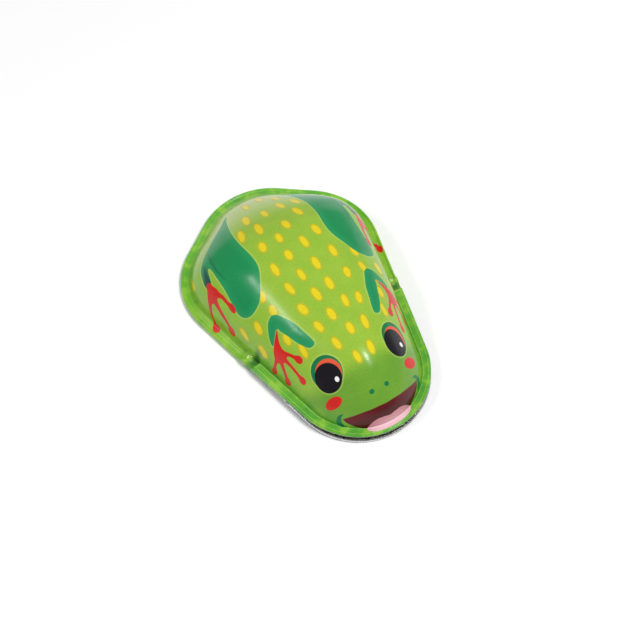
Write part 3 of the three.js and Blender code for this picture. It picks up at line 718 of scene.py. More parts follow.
class Shader:
    """Builds a node material step by step. Its methods return sockets."""

    def __init__(self, name):
        self.material = bpy.data.materials.new(name)
        self.material.use_nodes = True
        self.tree = self.material.node_tree
        self.tree.nodes.clear()
        self.surface = self.tree.nodes.new("ShaderNodeBsdfPrincipled")
        output = self.tree.nodes.new("ShaderNodeOutputMaterial")
        self.tree.links.new(self.surface.outputs[0], output.inputs[0])

    def put(self, socket, value):
        if isinstance(value, bpy.types.NodeSocket):
            self.tree.links.new(value, socket)
        else:
            socket.default_value = value

    def set(self, **values):
        """Sets the surface shader's sockets, by name with _ for a space."""
        for name, value in values.items():
            self.put(self.surface.inputs[name.replace("_", " ")], value)

    def attribute(self, name):
        node = self.tree.nodes.new("ShaderNodeAttribute")
        node.attribute_name = name
        return node

    def value(self, name):
        return self.attribute(name).outputs["Fac"]

    def math(self, operation, a, b=0.0, clamp=False):
        node = self.tree.nodes.new("ShaderNodeMath")
        node.operation = operation
        node.use_clamp = clamp
        self.put(node.inputs[0], a)
        self.put(node.inputs[1], b)
        return node.outputs[0]

    def ramp(self, value, start, end, low=0.0, high=1.0):
        """Smooth step from low at start to high at end."""
        node = self.tree.nodes.new("ShaderNodeMapRange")
        node.interpolation_type = "SMOOTHSTEP"
        self.put(node.inputs["Value"], value)
        for name, number in (("From Min", start), ("From Max", end), ("To Min", low), ("To Max", high)):
            self.put(node.inputs[name], number)
        return node.outputs["Result"]

    def mix(self, factor, a, b, blend="MIX"):
        node = self.tree.nodes.new("ShaderNodeMix")
        node.data_type = "RGBA"
        node.blend_type = blend
        self.put(node.inputs[0], factor)
        self.put(node.inputs[6], a)
        self.put(node.inputs[7], b)
        return node.outputs[2]

    def position(self, stretch=(1, 1, 1)):
        """Object coordinates in millimetres, stretched along the axes."""
        place = self.tree.nodes.new("ShaderNodeTexCoord").outputs["Object"]
        node = self.tree.nodes.new("ShaderNodeMapping")
        self.put(node.inputs["Vector"], place)
        node.inputs["Scale"].default_value = [1 / MM * s for s in stretch]
        return node.outputs[0]

    def noise(self, place, scale, detail=3.0, roughness=0.5):
        node = self.tree.nodes.new("ShaderNodeTexNoise")
        self.put(node.inputs["Vector"], place)
        self.put(node.inputs["Scale"], scale)
        self.put(node.inputs["Detail"], detail)
        self.put(node.inputs["Roughness"], roughness)
        return node.outputs["Fac"]

    def bump(self, height, strength, distance):
        node = self.tree.nodes.new("ShaderNodeBump")
        self.put(node.inputs["Height"], height)
        node.inputs["Strength"].default_value = strength
        node.inputs["Distance"].default_value = distance * MM
        return node.outputs[0]

    def scratches(self, place, scale, width):
        """Thin wandering lines: the middle band of a stretched noise."""
        line = self.noise(place, scale, 2.0, 0.6)
        off = self.math("ABSOLUTE", self.math("SUBTRACT", line, 0.5))
        return self.ramp(off, 0.0, width, 1.0, 0.0)


def tin_colour(shader, place):
    """Bare tinplate with a cloudy spangle."""
    cloud = shader.noise(place, 0.35, 4.0, 0.6)
    return shader.mix(shader.ramp(cloud, 0.3, 0.7), srgb(196, 198, 200), srgb(222, 223, 222))


def printed_tin():
    """The shell's outside: inks laid over each other as on the sheet, then grain, painted light and shade,
    and wear.
    """
    shader = Shader("printed_tin")
    place = shader.position()
    distance = {name: shader.value(name) for name in
                ("legs", "crease", "shank", "red", "spots", "lid", "dark", "orange", "black", "white",
                 "mouth", "tongue", "ridge")}
    sheet = shader.attribute("sheet")
    split = shader.tree.nodes.new("ShaderNodeSeparateXYZ")
    shader.put(split.inputs[0], sheet.outputs["Vector"])
    across = shader.math("ABSOLUTE", split.outputs[0])
    along = split.outputs[1]
    inset = shader.value("inset")
    print_grain = shader.noise(sheet.outputs["Vector"], 2.4, 4.0, 0.6)
    print_cloud = shader.noise(sheet.outputs["Vector"], 0.22, 3.0, 0.5)

    def inside(name, edge=0.0, soft=PRINT_BLUR):
        """1 inside a printed shape grown by an edge, 0 outside."""
        return shader.ramp(distance[name], edge + soft, edge - soft)

    def paint(below, colour, name, edge=0.0, soft=PRINT_BLUR):
        return shader.mix(inside(name, edge, soft), below, colour)

    # Ground: yellow-green back, greener flanks and flange; the muzzle is painted darker from the brow
    # forwards, as painted shade where the head bends down
    back = shader.mix(print_cloud, srgb(136, 178, 52), srgb(158, 194, 62))
    flank = shader.mix(print_cloud, srgb(128, 180, 50), srgb(150, 192, 58))
    shaded_muzzle = shader.mix(print_cloud, srgb(88, 146, 42), srgb(110, 162, 50))
    ground = shader.mix(shader.ramp(across, 9.0, 25.0), back, flank)
    # Painted shade: the muzzle's ground is darker from the brow forwards
    ground = shader.mix(shader.ramp(along, -22.0, -27.0, 0.0, 0.9), ground, shaded_muzzle)
    # The flange is darker on the front strip; along the rear flange its sides are painted lighter and its
    # tail end darker, as painted light and shade
    flange = shader.mix(shader.ramp(along, -10.0, -4.0), srgb(84, 164, 46), srgb(128, 184, 54))
    flange = shader.mix(shader.ramp(along, 12.0, 24.0), flange, srgb(88, 176, 42))

    # The flange is mottled with lighter and darker patches, painted as the wavy sheen of its pressed surface
    flange_sheen_mottle = shader.noise(sheet.outputs["Vector"], 0.2, 2.0, 0.6)
    flange = shader.mix(shader.ramp(flange_sheen_mottle, 0.46, 0.66, 0.0, 0.6), flange, srgb(158, 206, 66))
    flange = shader.mix(shader.ramp(flange_sheen_mottle, 0.46, 0.3, 0.0, 0.5), flange, srgb(52, 138, 44))

    # The tail is painted paler, a painted sheen of reflected light, and the flange's ridges are painted
    # paler, partly rubbed print and partly a painted highlight
    ground = shader.mix(shader.ramp(along, 18.0, 38.0, 0.0, 0.6), ground, srgb(206, 212, 158))
    ground = shader.mix(shader.ramp(inset, 4.0, 1.8, 0.0, 0.85), ground, flange)
    rub = shader.noise(place, 1.1, 5.0, 0.65)
    # Pale ridge lines: partly rubbed print, partly a painted highlight along each ridge's crest
    rubbed_and_lit_ridge = shader.math("MULTIPLY", distance["ridge"], shader.ramp(rub, 0.3, 0.7, 0.2, 0.6))
    ground = shader.mix(rubbed_and_lit_ridge, ground, srgb(180, 220, 124))

    # A paler line of ground is left round the legs and the eyes
    shapes = distance["legs"]
    for name in ("lid", "black"):
        shapes = shader.math("MINIMUM", shapes, distance[name])
    halo = shader.ramp(shapes, 0.55, 0.1, 0.0, 0.45)
    colour = shader.mix(halo, ground, srgb(190, 214, 110))

    # Inks, from the lowest to the top one
    colour = paint(colour, srgb(182, 178, 40), "spots", 0.18, 0.18)
    colour = paint(colour, srgb(226, 206, 30), "spots", -0.2, 0.22)
    teal = shader.mix(shader.ramp(along, -16.0, 22.0), srgb(14, 134, 80), srgb(20, 140, 78))
    teal = shader.mix(shader.ramp(distance["legs"], 0.0, -2.6, 0.35, 0.0), teal, srgb(52, 164, 104))
    teal = shader.mix(inside("crease", 0.05, 0.4), teal, srgb(12, 106, 68))
    teal = shader.mix(inside("shank", 0.0, 0.9), teal, srgb(12, 76, 66))
    colour = paint(colour, teal, "legs")
    red = shader.mix(print_cloud, srgb(200, 24, 18), srgb(216, 40, 30))
    colour = paint(colour, red, "red")
    colour = paint(colour, srgb(16, 116, 66), "dark")
    colour = paint(colour, srgb(226, 88, 58), "orange")
    colour = paint(colour, shader.mix(print_cloud, srgb(8, 6, 12), srgb(18, 14, 24)), "black")
    colour = paint(colour, srgb(240, 240, 236), "white")
    mouth = shader.mix(shader.ramp(along, -33.5, -39.0), srgb(104, 12, 20), srgb(72, 6, 12))
    colour = paint(colour, mouth, "mouth")
    # The tongue is painted darker at the top, as painted shade where it runs down the steep front of the
    # muzzle, and the pale line across it along the strip's inner ridge is a painted highlight
    tongue = shader.mix(shader.ramp(along, -39.0, -42.4), srgb(198, 134, 142), srgb(232, 188, 196))
    crest = shader.math("MULTIPLY", distance["ridge"], 0.8)
    tongue = shader.mix(crest, tongue, srgb(250, 232, 234))
    colour = paint(colour, tongue, "tongue")

    # Grain of the print
    grain = shader.ramp(print_grain, 0.25, 0.75, 0.9, 1.06)
    tint = shader.tree.nodes.new("ShaderNodeCombineColor")
    for socket in tint.inputs[:3]:
        shader.put(socket, grain)
    colour = shader.mix(1.0, colour, tint.outputs[0], "MULTIPLY")

    # The crimps: painted shade in the dip, and small pale spots on the crest behind it that are painted
    # highlights
    spot = shader.tree.nodes.new("ShaderNodeSeparateXYZ")
    shader.put(spot.inputs[0], place)
    from_dip = shader.math("ABSOLUTE", shader.math("SUBTRACT", spot.outputs[1], CRIMP_DIP_Y))
    across_dip = shader.math("MULTIPLY", shader.ramp(inset, 3.7, 2.5),
                             shader.ramp(inset, 0.3, 1.5, 0.45, 0.8))
    # Painted shade: the crimp's dip is darkened
    dip_shade = shader.math("MULTIPLY", shader.ramp(from_dip, 1.5, 0.2), across_dip)
    colour = shader.mix(dip_shade, colour, srgb(22, 92, 44))
    for centre_y, centre_inset, size in CRIMP_SPARKLES:
        across_sparkle = shader.math("SUBTRACT", inset, centre_inset)
        along_sparkle = shader.math("SUBTRACT", spot.outputs[1], centre_y)
        away = shader.math("ADD", shader.math("MULTIPLY", across_sparkle, across_sparkle),
                           shader.math("MULTIPLY", along_sparkle, along_sparkle))
        away = shader.math("MULTIPLY", away, shader.ramp(print_grain, 0.3, 0.7, 0.5, 1.6))
        # Painted highlights: small pale spots on the crimp's crest
        colour = shader.mix(shader.ramp(away, size, size / 3, 0.0, 0.8), colour, srgb(226, 236, 190))

    # Wear: the cut edge is bare tin, and fine scuffs dull the lacquer
    cut = shader.math("ADD", shader.value("lip"), shader.math("MULTIPLY", rub, 0.3))
    bare = shader.ramp(cut, 0.58, 0.5)
    colour = shader.mix(bare, colour, tin_colour(shader, place))
    hairline = shader.scratches(shader.position((0.18, 1, 1)), 0.5, 0.004)
    scuff = shader.math("MULTIPLY", hairline, shader.ramp(rub, 0.5, 0.7))
    gloss = shader.ramp(shader.noise(place, 0.6, 4.0, 0.6), 0.3, 0.75, 0.2, 0.28)
    gloss = shader.math("ADD", gloss, shader.math("MULTIPLY", scuff, 0.2))
    shader.set(Base_Color=colour, Metallic=shader.math("MULTIPLY", bare, 0.95), Roughness=gloss,
               Specular_IOR_Level=0.25, Coat_Weight=0.12, Coat_Roughness=0.1, Coat_IOR=1.5)
    peel = shader.noise(place, 1.6, 2.0, 0.5)
    dents = shader.noise(place, 0.16, 1.0, 0.4)
    relief = shader.math("ADD", shader.math("MULTIPLY", peel, 0.05), dents)
    relief = shader.math("SUBTRACT", relief, shader.math("MULTIPLY", scuff, 0.02))
    shader.set(Normal=shader.bump(relief, 0.5, 0.12))
    return shader.material


def bare_tin(name, warm=0.0, contact_shadowed=False):
    """Bare rolled tinplate, with rolling lines along Y, handling marks and a little tarnish, and where asked
    a dark line painted along the foot of a cut edge as its contact shadow.
    """
    shader = Shader(name)
    place = shader.position()
    rolled = shader.noise(shader.position((1, 0.04, 1)), 5.0, 3.0, 0.6)
    cloud = shader.noise(place, 0.3, 5.0, 0.62)
    colour = tin_colour(shader, place)
    tarnish = shader.ramp(cloud, 0.52, 0.72, 0.0, 0.35)
    colour = shader.mix(tarnish, colour, srgb(168, 164, 156))
    if warm:
        colour = shader.mix(warm, colour, srgb(204, 186, 138))
    # Painted shadow: a dark line along the foot of the cut edge, where it meets the floor
    if contact_shadowed:
        colour = shader.mix(shader.ramp(shader.value("contact_shadow"), 0.2, 0.9), colour, srgb(38, 35, 33))
    mark = shader.scratches(shader.position((1, 0.3, 1)), 0.9, 0.006)
    rough = shader.ramp(rolled, 0.3, 0.7, 0.22, 0.34)
    rough = shader.math("ADD", rough, shader.math("MULTIPLY", tarnish, 0.35))
    rough = shader.math("ADD", rough, shader.math("MULTIPLY", mark, 0.1))
    shader.set(Base_Color=colour, Metallic=1.0, Roughness=rough)
    lines = shader.math("MULTIPLY", rolled, 0.006 if contact_shadowed else 0.03)
    relief = shader.math("ADD", lines, shader.math("MULTIPLY", cloud, 0.3))
    shader.set(Normal=shader.bump(relief, 0.5, 0.1))
    return shader.material


def steel(name, light, dark, roughness, oil=0.0):
    """Drawn or plated steel with lengthwise die lines and dull patches."""
    shader = Shader(name)
    place = shader.position()
    patch = shader.noise(place, 0.9, 4.0, 0.6)
    fine = shader.noise(shader.position((0.1, 1, 1)), 7.0, 2.0, 0.5)
    colour = shader.mix(shader.ramp(patch, 0.35, 0.7), light, dark)
    if oil:
        colour = shader.mix(shader.ramp(patch, 0.5, 0.62, 0.0, oil), colour, srgb(86, 70, 50))
    rough = shader.ramp(fine, 0.3, 0.7, roughness - 0.06, roughness + 0.08)
    shader.set(Base_Color=colour, Metallic=1.0, Roughness=rough)
    shader.set(Normal=shader.bump(fine, 0.3, 0.02))
    return shader.material


def red_rubber():
    """Soft moulded rubber with a chalky bloom and fine specks."""
    shader = Shader("red_rubber")
    place = shader.position()
    bloom = shader.noise(place, 0.5, 5.0, 0.65)
    speck = shader.noise(place, 6.0, 2.0, 0.6)
    colour = shader.mix(shader.ramp(bloom, 0.3, 0.75), srgb(142, 34, 26), srgb(170, 62, 50))
    rough = shader.ramp(speck, 0.3, 0.7, 0.46, 0.62)
    shader.set(Base_Color=colour, Roughness=rough, Sheen_Weight=0.15)
    shader.set(Normal=shader.bump(speck, 0.4, 0.04))
    return shader.material


PRINTED = printed_tin()
SHELL_INSIDE = bare_tin("shell_inside", warm=0.45)
FLAP_TIN = bare_tin("flap_tin", contact_shadowed=True)
PLATE_TIN = bare_tin("plate_tin", warm=0.12)
BRACKET_TIN = bare_tin("bracket_tin")
PIN_STEEL = steel("pin_steel", srgb(186, 188, 190), srgb(150, 150, 150), 0.3)
SPRING_STEEL = steel("spring_steel", srgb(150, 152, 156), srgb(108, 108, 112), 0.34, oil=0.4)
RIVET_STEEL = steel("rivet_steel", srgb(196, 196, 190), srgb(158, 156, 148), 0.36)
RUBBER = red_rubber()


# ---- shell -----------------------------------------------------------------------------------

STATION_STEP = 0.42
CRIMP_STATION_STEP = 0.15


def body_shell():
    """The shell, with everything that its print and its wear depend on stored at its points."""
    sections = ShellSections(STATION_STEP, CRIMP_STATION_STEP)
    outer = sections.outer
    points = np.concatenate([outer, sections.inner], axis=1)
    rows, columns = points.shape[:2]
    outer_columns = outer.shape[1]
    faces = []
    for r in range(rows):
        a, b = r * columns, (r + 1) % rows * columns
        faces += [(a + i, a + i + 1, b + i + 1, b + i) for i in range(columns - 1)]
    inside = [0 if i < outer_columns + 1 else 1 for i in range(columns - 1)] * rows

    # What the print and the wear need to know, on the outer skin only
    known = artwork(sections.flat_sheet().reshape(-1, 2))
    sheet = known.pop("sheet")
    away = np.linalg.norm(outer[:, :, :2] - sections.rim[:, None, :], axis=2)
    known["inset"] = away * sections.slant[:, None]

    # Height over the lip's edge, where the lip is: a short lip shows a little less bare tin
    lip_height = outer[:, :, 2] - sections.lip[:, None]
    short = between(sections.top - sections.lip, 1.3, 0.8)
    known["lip"] = lip_height + (FAR * (1 - sections.front) + 0.2 * short)[:, None]
    known["ridge"] = np.stack(sections.ridges, 1)

    layers = {"sheet": np.zeros((rows, columns, 3))}
    layers["sheet"][:, :outer_columns, :2] = sheet.reshape(rows, outer_columns, 2)
    layers["sheet"] = layers["sheet"].reshape(-1, 3)
    for name, values in known.items():
        whole = np.full((rows, columns), 0.0 if name == "ridge" else FAR)
        whole[:, :outer_columns] = values.reshape(rows, outer_columns)
        layers[name] = whole.reshape(-1)
    new_piece("frog_shell", points.reshape(-1, 3), faces, [PRINTED, SHELL_INSIDE],
              "frog", "body_shell", inside, sharp=60, layers=layers)


body_shell()


# ---- helpers for the metal pieces ------------------------------------------------------------

def grid_solid(loops, cap_split):
    """Points and faces of a solid from closed loops of points, one after another. The first
    cap_split points of a loop face its other ones, and quads between the two close the ends."""
    loops = np.asarray(loops)
    rows, size = loops.shape[:2]
    faces = []
    for r in range(rows - 1):
        a, b = r * size, (r + 1) * size
        faces += [(a + i, a + (i + 1) % size, b + (i + 1) % size, b + i) for i in range(size)]
    for start, flip in ((0, False), ((rows - 1) * size, True)):
        for i in range(cap_split - 1):
            quad = (start + i, start + size - 1 - i, start + size - 2 - i, start + i + 1)
            faces.append(quad[::-1] if flip else quad)
    return loops.reshape(-1, 3), faces


def lathe(profile, centre, axis="z", steps=64):
    """A turned solid from a (radius, height) profile whose ends lie on the axis."""
    points, faces, rings = [], [], []
    for radius, height in profile:
        if radius < 1e-6:
            rings.append([len(points)])
            points.append((0, 0, height))
        else:
            rings.append(list(range(len(points), len(points) + steps)))
            for angle in np.linspace(0, 2 * math.pi, steps, endpoint=False):
                points.append((radius * math.cos(angle), radius * math.sin(angle), height))
    for a, b in zip(rings[:-1], rings[1:]):
        for i in range(steps):
            j = (i + 1) % steps
            quad = [a[i % len(a)], a[j % len(a)], b[j % len(b)], b[i % len(b)]]
            faces.append(tuple(dict.fromkeys(quad)))
    points = np.array(points)
    if axis == "x":
        points = points[:, [2, 0, 1]]
    return points + np.array(centre), faces


def rounded(profile, radii, steps=4):
    """Replaces the corners of a (radius, height) profile by arcs; one radius for each corner."""
    profile = np.array(profile, float)
    out = [profile[0]]
    for before, corner, after, radius in zip(profile[:-2], profile[1:-1], profile[2:], radii):
        arrive, leave = before - corner, after - corner
        arrive_length, leave_length = np.linalg.norm(arrive), np.linalg.norm(leave)
        cut = min(radius, 0.49 * arrive_length, 0.49 * leave_length)
        start, end = corner + arrive / arrive_length * cut, corner + leave / leave_length * cut
        for t in np.linspace(0, 1, steps + 1):
            out.append((1 - t) ** 2 * start + 2 * t * (1 - t) * corner + t * t * end)
    out.append(profile[-1])
    return [tuple(p) for p in out]


def tube(path, radius, sides=12):
    """A wire along a path, with rounded ends."""
    path = np.asarray(path, float)
    tangent = np.gradient(path, axis=0)
    tangent /= np.linalg.norm(tangent, axis=1, keepdims=True)
    normal = np.cross(tangent[0], (1.0, 0.3, 0.2))
    normal /= np.linalg.norm(normal)
    angles = np.linspace(0, 2 * math.pi, sides, endpoint=False)[:, None]
    last = len(path) - 1
    loops = []
    for i, (point, along) in enumerate(zip(path, tangent)):
        normal = normal - along * (normal @ along)
        normal /= np.linalg.norm(normal)
        side = np.cross(along, normal)
        ring = np.cos(angles) * normal + np.sin(angles) * side
        inwards = {0: 1, last: -1}.get(i, 0)
        loops.append(point + ring * radius + inwards * along * radius)
        if inwards:
            cap = [point + inwards * along * radius * (1 - math.sin(a)) + ring * radius * math.cos(a)
                   for a in (1.5, 1, 0.5)]
            loops = cap + loops if i == 0 else loops + cap[::-1]
    return grid_solid(loops, sides // 2)


def joined(*solids):
    """Several solids as one set of points and faces."""
    points, faces = [], []
    for solid_points, solid_faces in solids:
        start = sum(len(p) for p in points)
        points.append(np.asarray(solid_points))
        faces += [tuple(start + i for i in face) for face in solid_faces]
    return np.vstack(points), faces


BEYOND = 99


def rim_distance(x, y):
    """Distance in plan from the toy's outline, in front of the haunches and behind them."""
    nose = NOSE_RADIUS - np.hypot(x, y - NOSE_CENTRE[1])
    side = (half_width(y, 0) - np.abs(x)) * math.cos(SIDE_TAPER)
    tail = TAIL_RADIUS - np.hypot(x, y - TAIL_CENTRE[1])
    rump = TAIL_CENTRE @ RUMP_NORMAL + TAIL_RADIUS - (np.abs(x) * RUMP_NORMAL[0] + y * RUMP_NORMAL[1])
    haunch = HAUNCH_RADIUS - np.hypot(np.abs(x) - HAUNCH_CENTRE[0], y - HAUNCH_CENTRE[1])
    off_haunch = np.arctan2(y - HAUNCH_CENTRE[1], np.abs(x) - HAUNCH_CENTRE[0])
    front = np.where(y < NOSE_CENTRE[1] - NOSE_RADIUS * math.sin(SIDE_TAPER), nose, side)
    beside_haunch = np.where(y > HAUNCH_CENTRE[1] - 4.5, haunch, side)
    at_tail = np.minimum(rump, np.where(np.abs(x) < TAIL_RADIUS * RUMP_NORMAL[0], tail, BEYOND))
    behind = np.where(off_haunch < math.pi / 2 - RUMP_ANGLE, beside_haunch, at_tail)
    return np.where(y < HAUNCH_CENTRE[1] - 8, front, behind)


def swage(distance, half, height):
    """A rounded rib pressed into a sheet, from the distance to its middle line."""
    t = np.clip(np.abs(distance) / half, 0, 1)
    return height * (1 - t * t) ** 2


# Pressed sheets: columns across, which crowd towards the sides, and the rounding of the edge.
# A dark line painted along the foot of the flap's cut edge stands for the contact shadow below it.
SHEET_COLUMNS = 110
CROWDING = math.pi / 2 * 0.8
EDGE_ROUNDING = 0.12
CONTACT_SHADOW_HEIGHT = 0.18
CONTACT_SHADOW_WIDTH = 0.16


def flat_top(x, y):
    return np.zeros_like(x)


def pressed_sheet(rows_y, width_at, bottom, relief, hem=flat_top):
    """A sheet between the toy's sides, with pressed ribs, rounded edges and a folded-over hem."""
    spread = np.sin(np.linspace(-1, 1, SHEET_COLUMNS) * CROWDING) / math.sin(CROWDING)
    loops = []
    for y in rows_y:
        width = width_at(y)
        x = spread * max(width - EDGE_ROUNDING, 0.02)
        at = np.full_like(x, y)
        lift, folded = relief(x, at), hem(x, at)
        top = np.column_stack([x, at, bottom + SHEET + lift + folded])
        under = np.column_stack([x, at, bottom + lift])[::-1]

        # The rim's points, from the top down: (distance in from the side, height)
        side = max(width, 0.03)
        rim = [(0.3 * EDGE_ROUNDING, SHEET - 0.04), (0, SHEET - 0.1), (0, CONTACT_SHADOW_HEIGHT + 0.05),
               (0, CONTACT_SHADOW_HEIGHT), (0, 0.1), (0.3 * EDGE_ROUNDING, 0.04)]
        rim = np.array([(side - within, y, bottom + height + lift[-1]) for within, height in rim])
        rim[:2, 2] += folded[-1]
        mirror = rim[::-1] * np.array([-1, 1, 1])
        loops.append(np.vstack([top, rim, under, mirror]))
    loops = np.roll(np.array(loops), len(rim) // 2, axis=1)
    return grid_solid(loops, SHEET_COLUMNS + len(rim))


# ---- flap, base plate and the works ----------------------------------------------------------

PIN_LOW, PIN_HIGH = node_box("hinge_pin")
PIN = (PIN_LOW + PIN_HIGH) / 2
PIN_RADIUS = (PIN_HIGH[2] - PIN_LOW[2]) / 2
PIN_HALF_LENGTH = (PIN_HIGH[0] - PIN_LOW[0]) / 2
PIN_END_IN_WALL = 1.9
KNUCKLE_INNER = PIN_RADIUS + 0.15
KNUCKLE_OUTER = KNUCKLE_INNER + SHEET
KNUCKLE_TRIM = 0.01
KNUCKLE_SWEEP = math.radians(285)
KNUCKLE_X = (4.5, 9.5)
FLAP_HINGE_GAP = 1.6
FLAP_REST_ANGLE = math.asin((PIN[2] - KNUCKLE_OUTER) / (LENGTH / 2 + PIN[1]))
FLAP_NOSE_INSET = 0.02
FLAP_HINGE_INSET = 0.75
FLAP_SHOULDERS_Y = (-18.5, -15.5)
FLAP_HEM_WIDTH = 0.7
FLAP_HEM_HEIGHT = 0.5
FLAP_TIP_Y = -31
CUP_Y = -18

# Ribs pressed into the flap, and a ring round the cup's pad
EDGE_RIB_INSET = 2.6
EDGE_RIB_END_Y = (-9, -10.5)
KNUCKLE_RIB_X = 7
KNUCKLE_RIB_REAR_Y = (-8.4, -9.2)
KNUCKLE_RIB_FRONT_Y = (-11.6, -10.8)
CUP_RING_RADIUS = 7.5


def flap_inset(y):
    return lerp(FLAP_NOSE_INSET, FLAP_HINGE_INSET, between(y, *FLAP_SHOULDERS_Y))


def flap_relief(x, y):
    """A rib along the edge, a ring round the cup's pad and two short ribs at the knuckles."""
    edge_rib = swage(rim_distance(x, y) - EDGE_RIB_INSET, 0.7, 0.22) * between(y, *EDGE_RIB_END_Y)
    pad_ring = swage(np.hypot(x, y - CUP_Y) - CUP_RING_RADIUS, 0.6, 0.12)
    knuckle_rib = swage(np.abs(x) - KNUCKLE_RIB_X, 0.8, 0.2)
    knuckle_rib *= between(y, *KNUCKLE_RIB_REAR_Y) * between(y, *KNUCKLE_RIB_FRONT_Y)
    return edge_rib + pad_ring + knuckle_rib


def flap_hem(x, y):
    """The edge is folded over on top of the plate, from the shoulders forwards."""
    from_edge = rim_distance(x, y) - flap_inset(y)
    folded = between(from_edge, FLAP_HEM_WIDTH, FLAP_HEM_WIDTH - 0.2)
    return FLAP_HEM_HEIGHT * folded * between(y, FLAP_SHOULDERS_Y[0], FLAP_SHOULDERS_Y[0] - 1)


def tilted(points, to_y, to_z):
    """Points drawn level about the origin, tilted like the flap at rest and moved to a place."""
    c, s = math.cos(FLAP_REST_ANGLE), math.sin(FLAP_REST_ANGLE)
    x, y, z = points.T
    return np.column_stack([x, c * y - s * z + to_y, s * y + c * z + to_z])


def flap_width(y):
    return half_width(y, flap_inset(y))


def sheet_rows(start, bend, end, straight_count, tip_count):
    """Rows of a sheet: even from its start to where the end's arc is steep, then closer and closer."""
    tip = end + (bend - end) * (1 - np.sin(np.linspace(0, 1, tip_count) * math.pi / 2))
    return np.concatenate([np.linspace(start, bend, straight_count), tip[1:]])


def round_pin(x, radius, angles):
    """Points about the X axis."""
    return [(x, radius * math.cos(a), radius * math.sin(a)) for a in angles]


def jump_flap():
    """The flap: a pressed plate with a folded edge and two rolled knuckles."""
    rows = sheet_rows(PIN[1] - FLAP_HINGE_GAP, FLAP_TIP_Y, -LENGTH / 2 + FLAP_NOSE_INSET, 48, 26)
    points, faces = pressed_sheet(rows, flap_width, -KNUCKLE_OUTER, flap_relief, flap_hem)
    from_edge = rim_distance(points[:, 0], points[:, 1]) - flap_inset(points[:, 1])
    # Points in a thin band along the foot of the cut edge, which get the painted contact shadow
    contact_shadow = (points[:, 2] < CONTACT_SHADOW_HEIGHT + 0.01 - KNUCKLE_OUTER) & (from_edge < CONTACT_SHADOW_WIDTH)
    solids = [(tilted(points - np.array([0, PIN[1], 0]), PIN[1], PIN[2]), faces)]

    # Rolled knuckles, a touch thinner than the plate that they come out of
    outer_radius, inner_radius = KNUCKLE_OUTER - KNUCKLE_TRIM, KNUCKLE_INNER + KNUCKLE_TRIM
    root_y = -FLAP_HINGE_GAP - 0.02
    angles = np.linspace(-math.pi / 2, KNUCKLE_SWEEP - math.pi / 2, 40)
    for side in (-1, 1):
        loops = []
        for x in sorted(side * k for k in KNUCKLE_X):
            loops.append([(x, root_y, -outer_radius), *round_pin(x, outer_radius, angles),
                          *round_pin(x, inner_radius, angles[::-1]), (x, root_y, -inner_radius)])
        knuckle, knuckle_faces = grid_solid(loops, len(angles) + 1)
        solids.append((tilted(knuckle, PIN[1], PIN[2]), knuckle_faces))
    points, faces = joined(*solids)
    contact_shadow = np.concatenate([contact_shadow, np.zeros(len(points) - len(contact_shadow))])
    new_piece("flap_plate", points, faces, [FLAP_TIN], "flap", "jump_flap",
              layers={"contact_shadow": contact_shadow})


PLATE_LOW = node_box("base_plate")[0]
PLATE_FRONT_Y = -3.5
PLATE_TIP_Y = 33
PLATE_INSET = 0.7

# Ribs pressed into the base plate
PLATE_RIB_INSET = 5
PLATE_RIB_END_Y = (9, 11)
LONG_RIB_X = 8
LONG_RIB_FRONT_Y = (1, 2.5)
LONG_RIB_REAR_Y = (24, 22.5)

# Ears that hold the pin
EAR_X = 15.6
EAR_THICKNESS = 0.5
EAR_RADIUS = 1.35
EAR_HOLE = PIN_RADIUS + 0.15
EAR_FOOT_Y = -0.6

# The stretch of an ear's edge that is its foot and sloping back, in degrees round the pin
EAR_FOOT_START = 250
EAR_FOOT_SWEEP = 155
EAR_BACK_START = 0.62
EAR_BACK_TOP = 0.95


def plate_relief(x, y):
    """A rib that follows the edge, and two straight ribs beside the bracket."""
    edge_rib = swage(rim_distance(x, y) - PLATE_RIB_INSET, 0.9, 0.3) * between(y, *PLATE_RIB_END_Y)
    long_rib = swage(np.abs(x) - LONG_RIB_X, 0.9, 0.3)
    long_rib *= between(y, *LONG_RIB_FRONT_Y) * between(y, *LONG_RIB_REAR_Y)
    return edge_rib + long_rib


def plate_width(y):
    return half_width(y, PLATE_INSET)


def ear_edge(angle):
    """The ear's edge at an angle round the pin: round, but for a foot in the plate and a straight
    back that slopes up from it."""
    turned = (math.degrees(angle) - EAR_FOOT_START) % 360
    if not 0 < turned < EAR_FOOT_SWEEP:
        return PIN[1] + EAR_RADIUS * math.cos(angle), PIN[2] + EAR_RADIUS * math.sin(angle)
    t = smooth(turned / EAR_FOOT_SWEEP)
    foot_z = PLATE_LOW[2] + SHEET / 2
    if t < EAR_BACK_START:
        return lerp(PLATE_FRONT_Y + 0.2, EAR_FOOT_Y, min(t * 1.6, 1)), foot_z
    up = (t - EAR_BACK_START) / (1 - EAR_BACK_START)
    return lerp(EAR_FOOT_Y, PIN[1] + EAR_BACK_TOP, up), lerp(foot_z, PIN[2] + EAR_BACK_TOP, up)


def plate_ear(middle_x):
    """An upright ear with a hole for the pin: an outer and an inner ring on each of its sides."""
    angles = np.linspace(0, 2 * math.pi, 48, endpoint=False)
    points = []
    for x in (middle_x - EAR_THICKNESS / 2, middle_x + EAR_THICKNESS / 2):
        points += [(x, *ear_edge(a)) for a in angles]
        points += [(x, PIN[1] + y, PIN[2] + z) for _, y, z in round_pin(x, EAR_HOLE, angles)]
    count = len(angles)
    faces = []
    for ring, facing in ((0, 1), (2, 3), (0, 2), (1, 3)):
        a, b = ring * count, facing * count
        faces += [(a + i, a + (i + 1) % count, b + (i + 1) % count, b + i) for i in range(count)]
    return np.array(points), faces


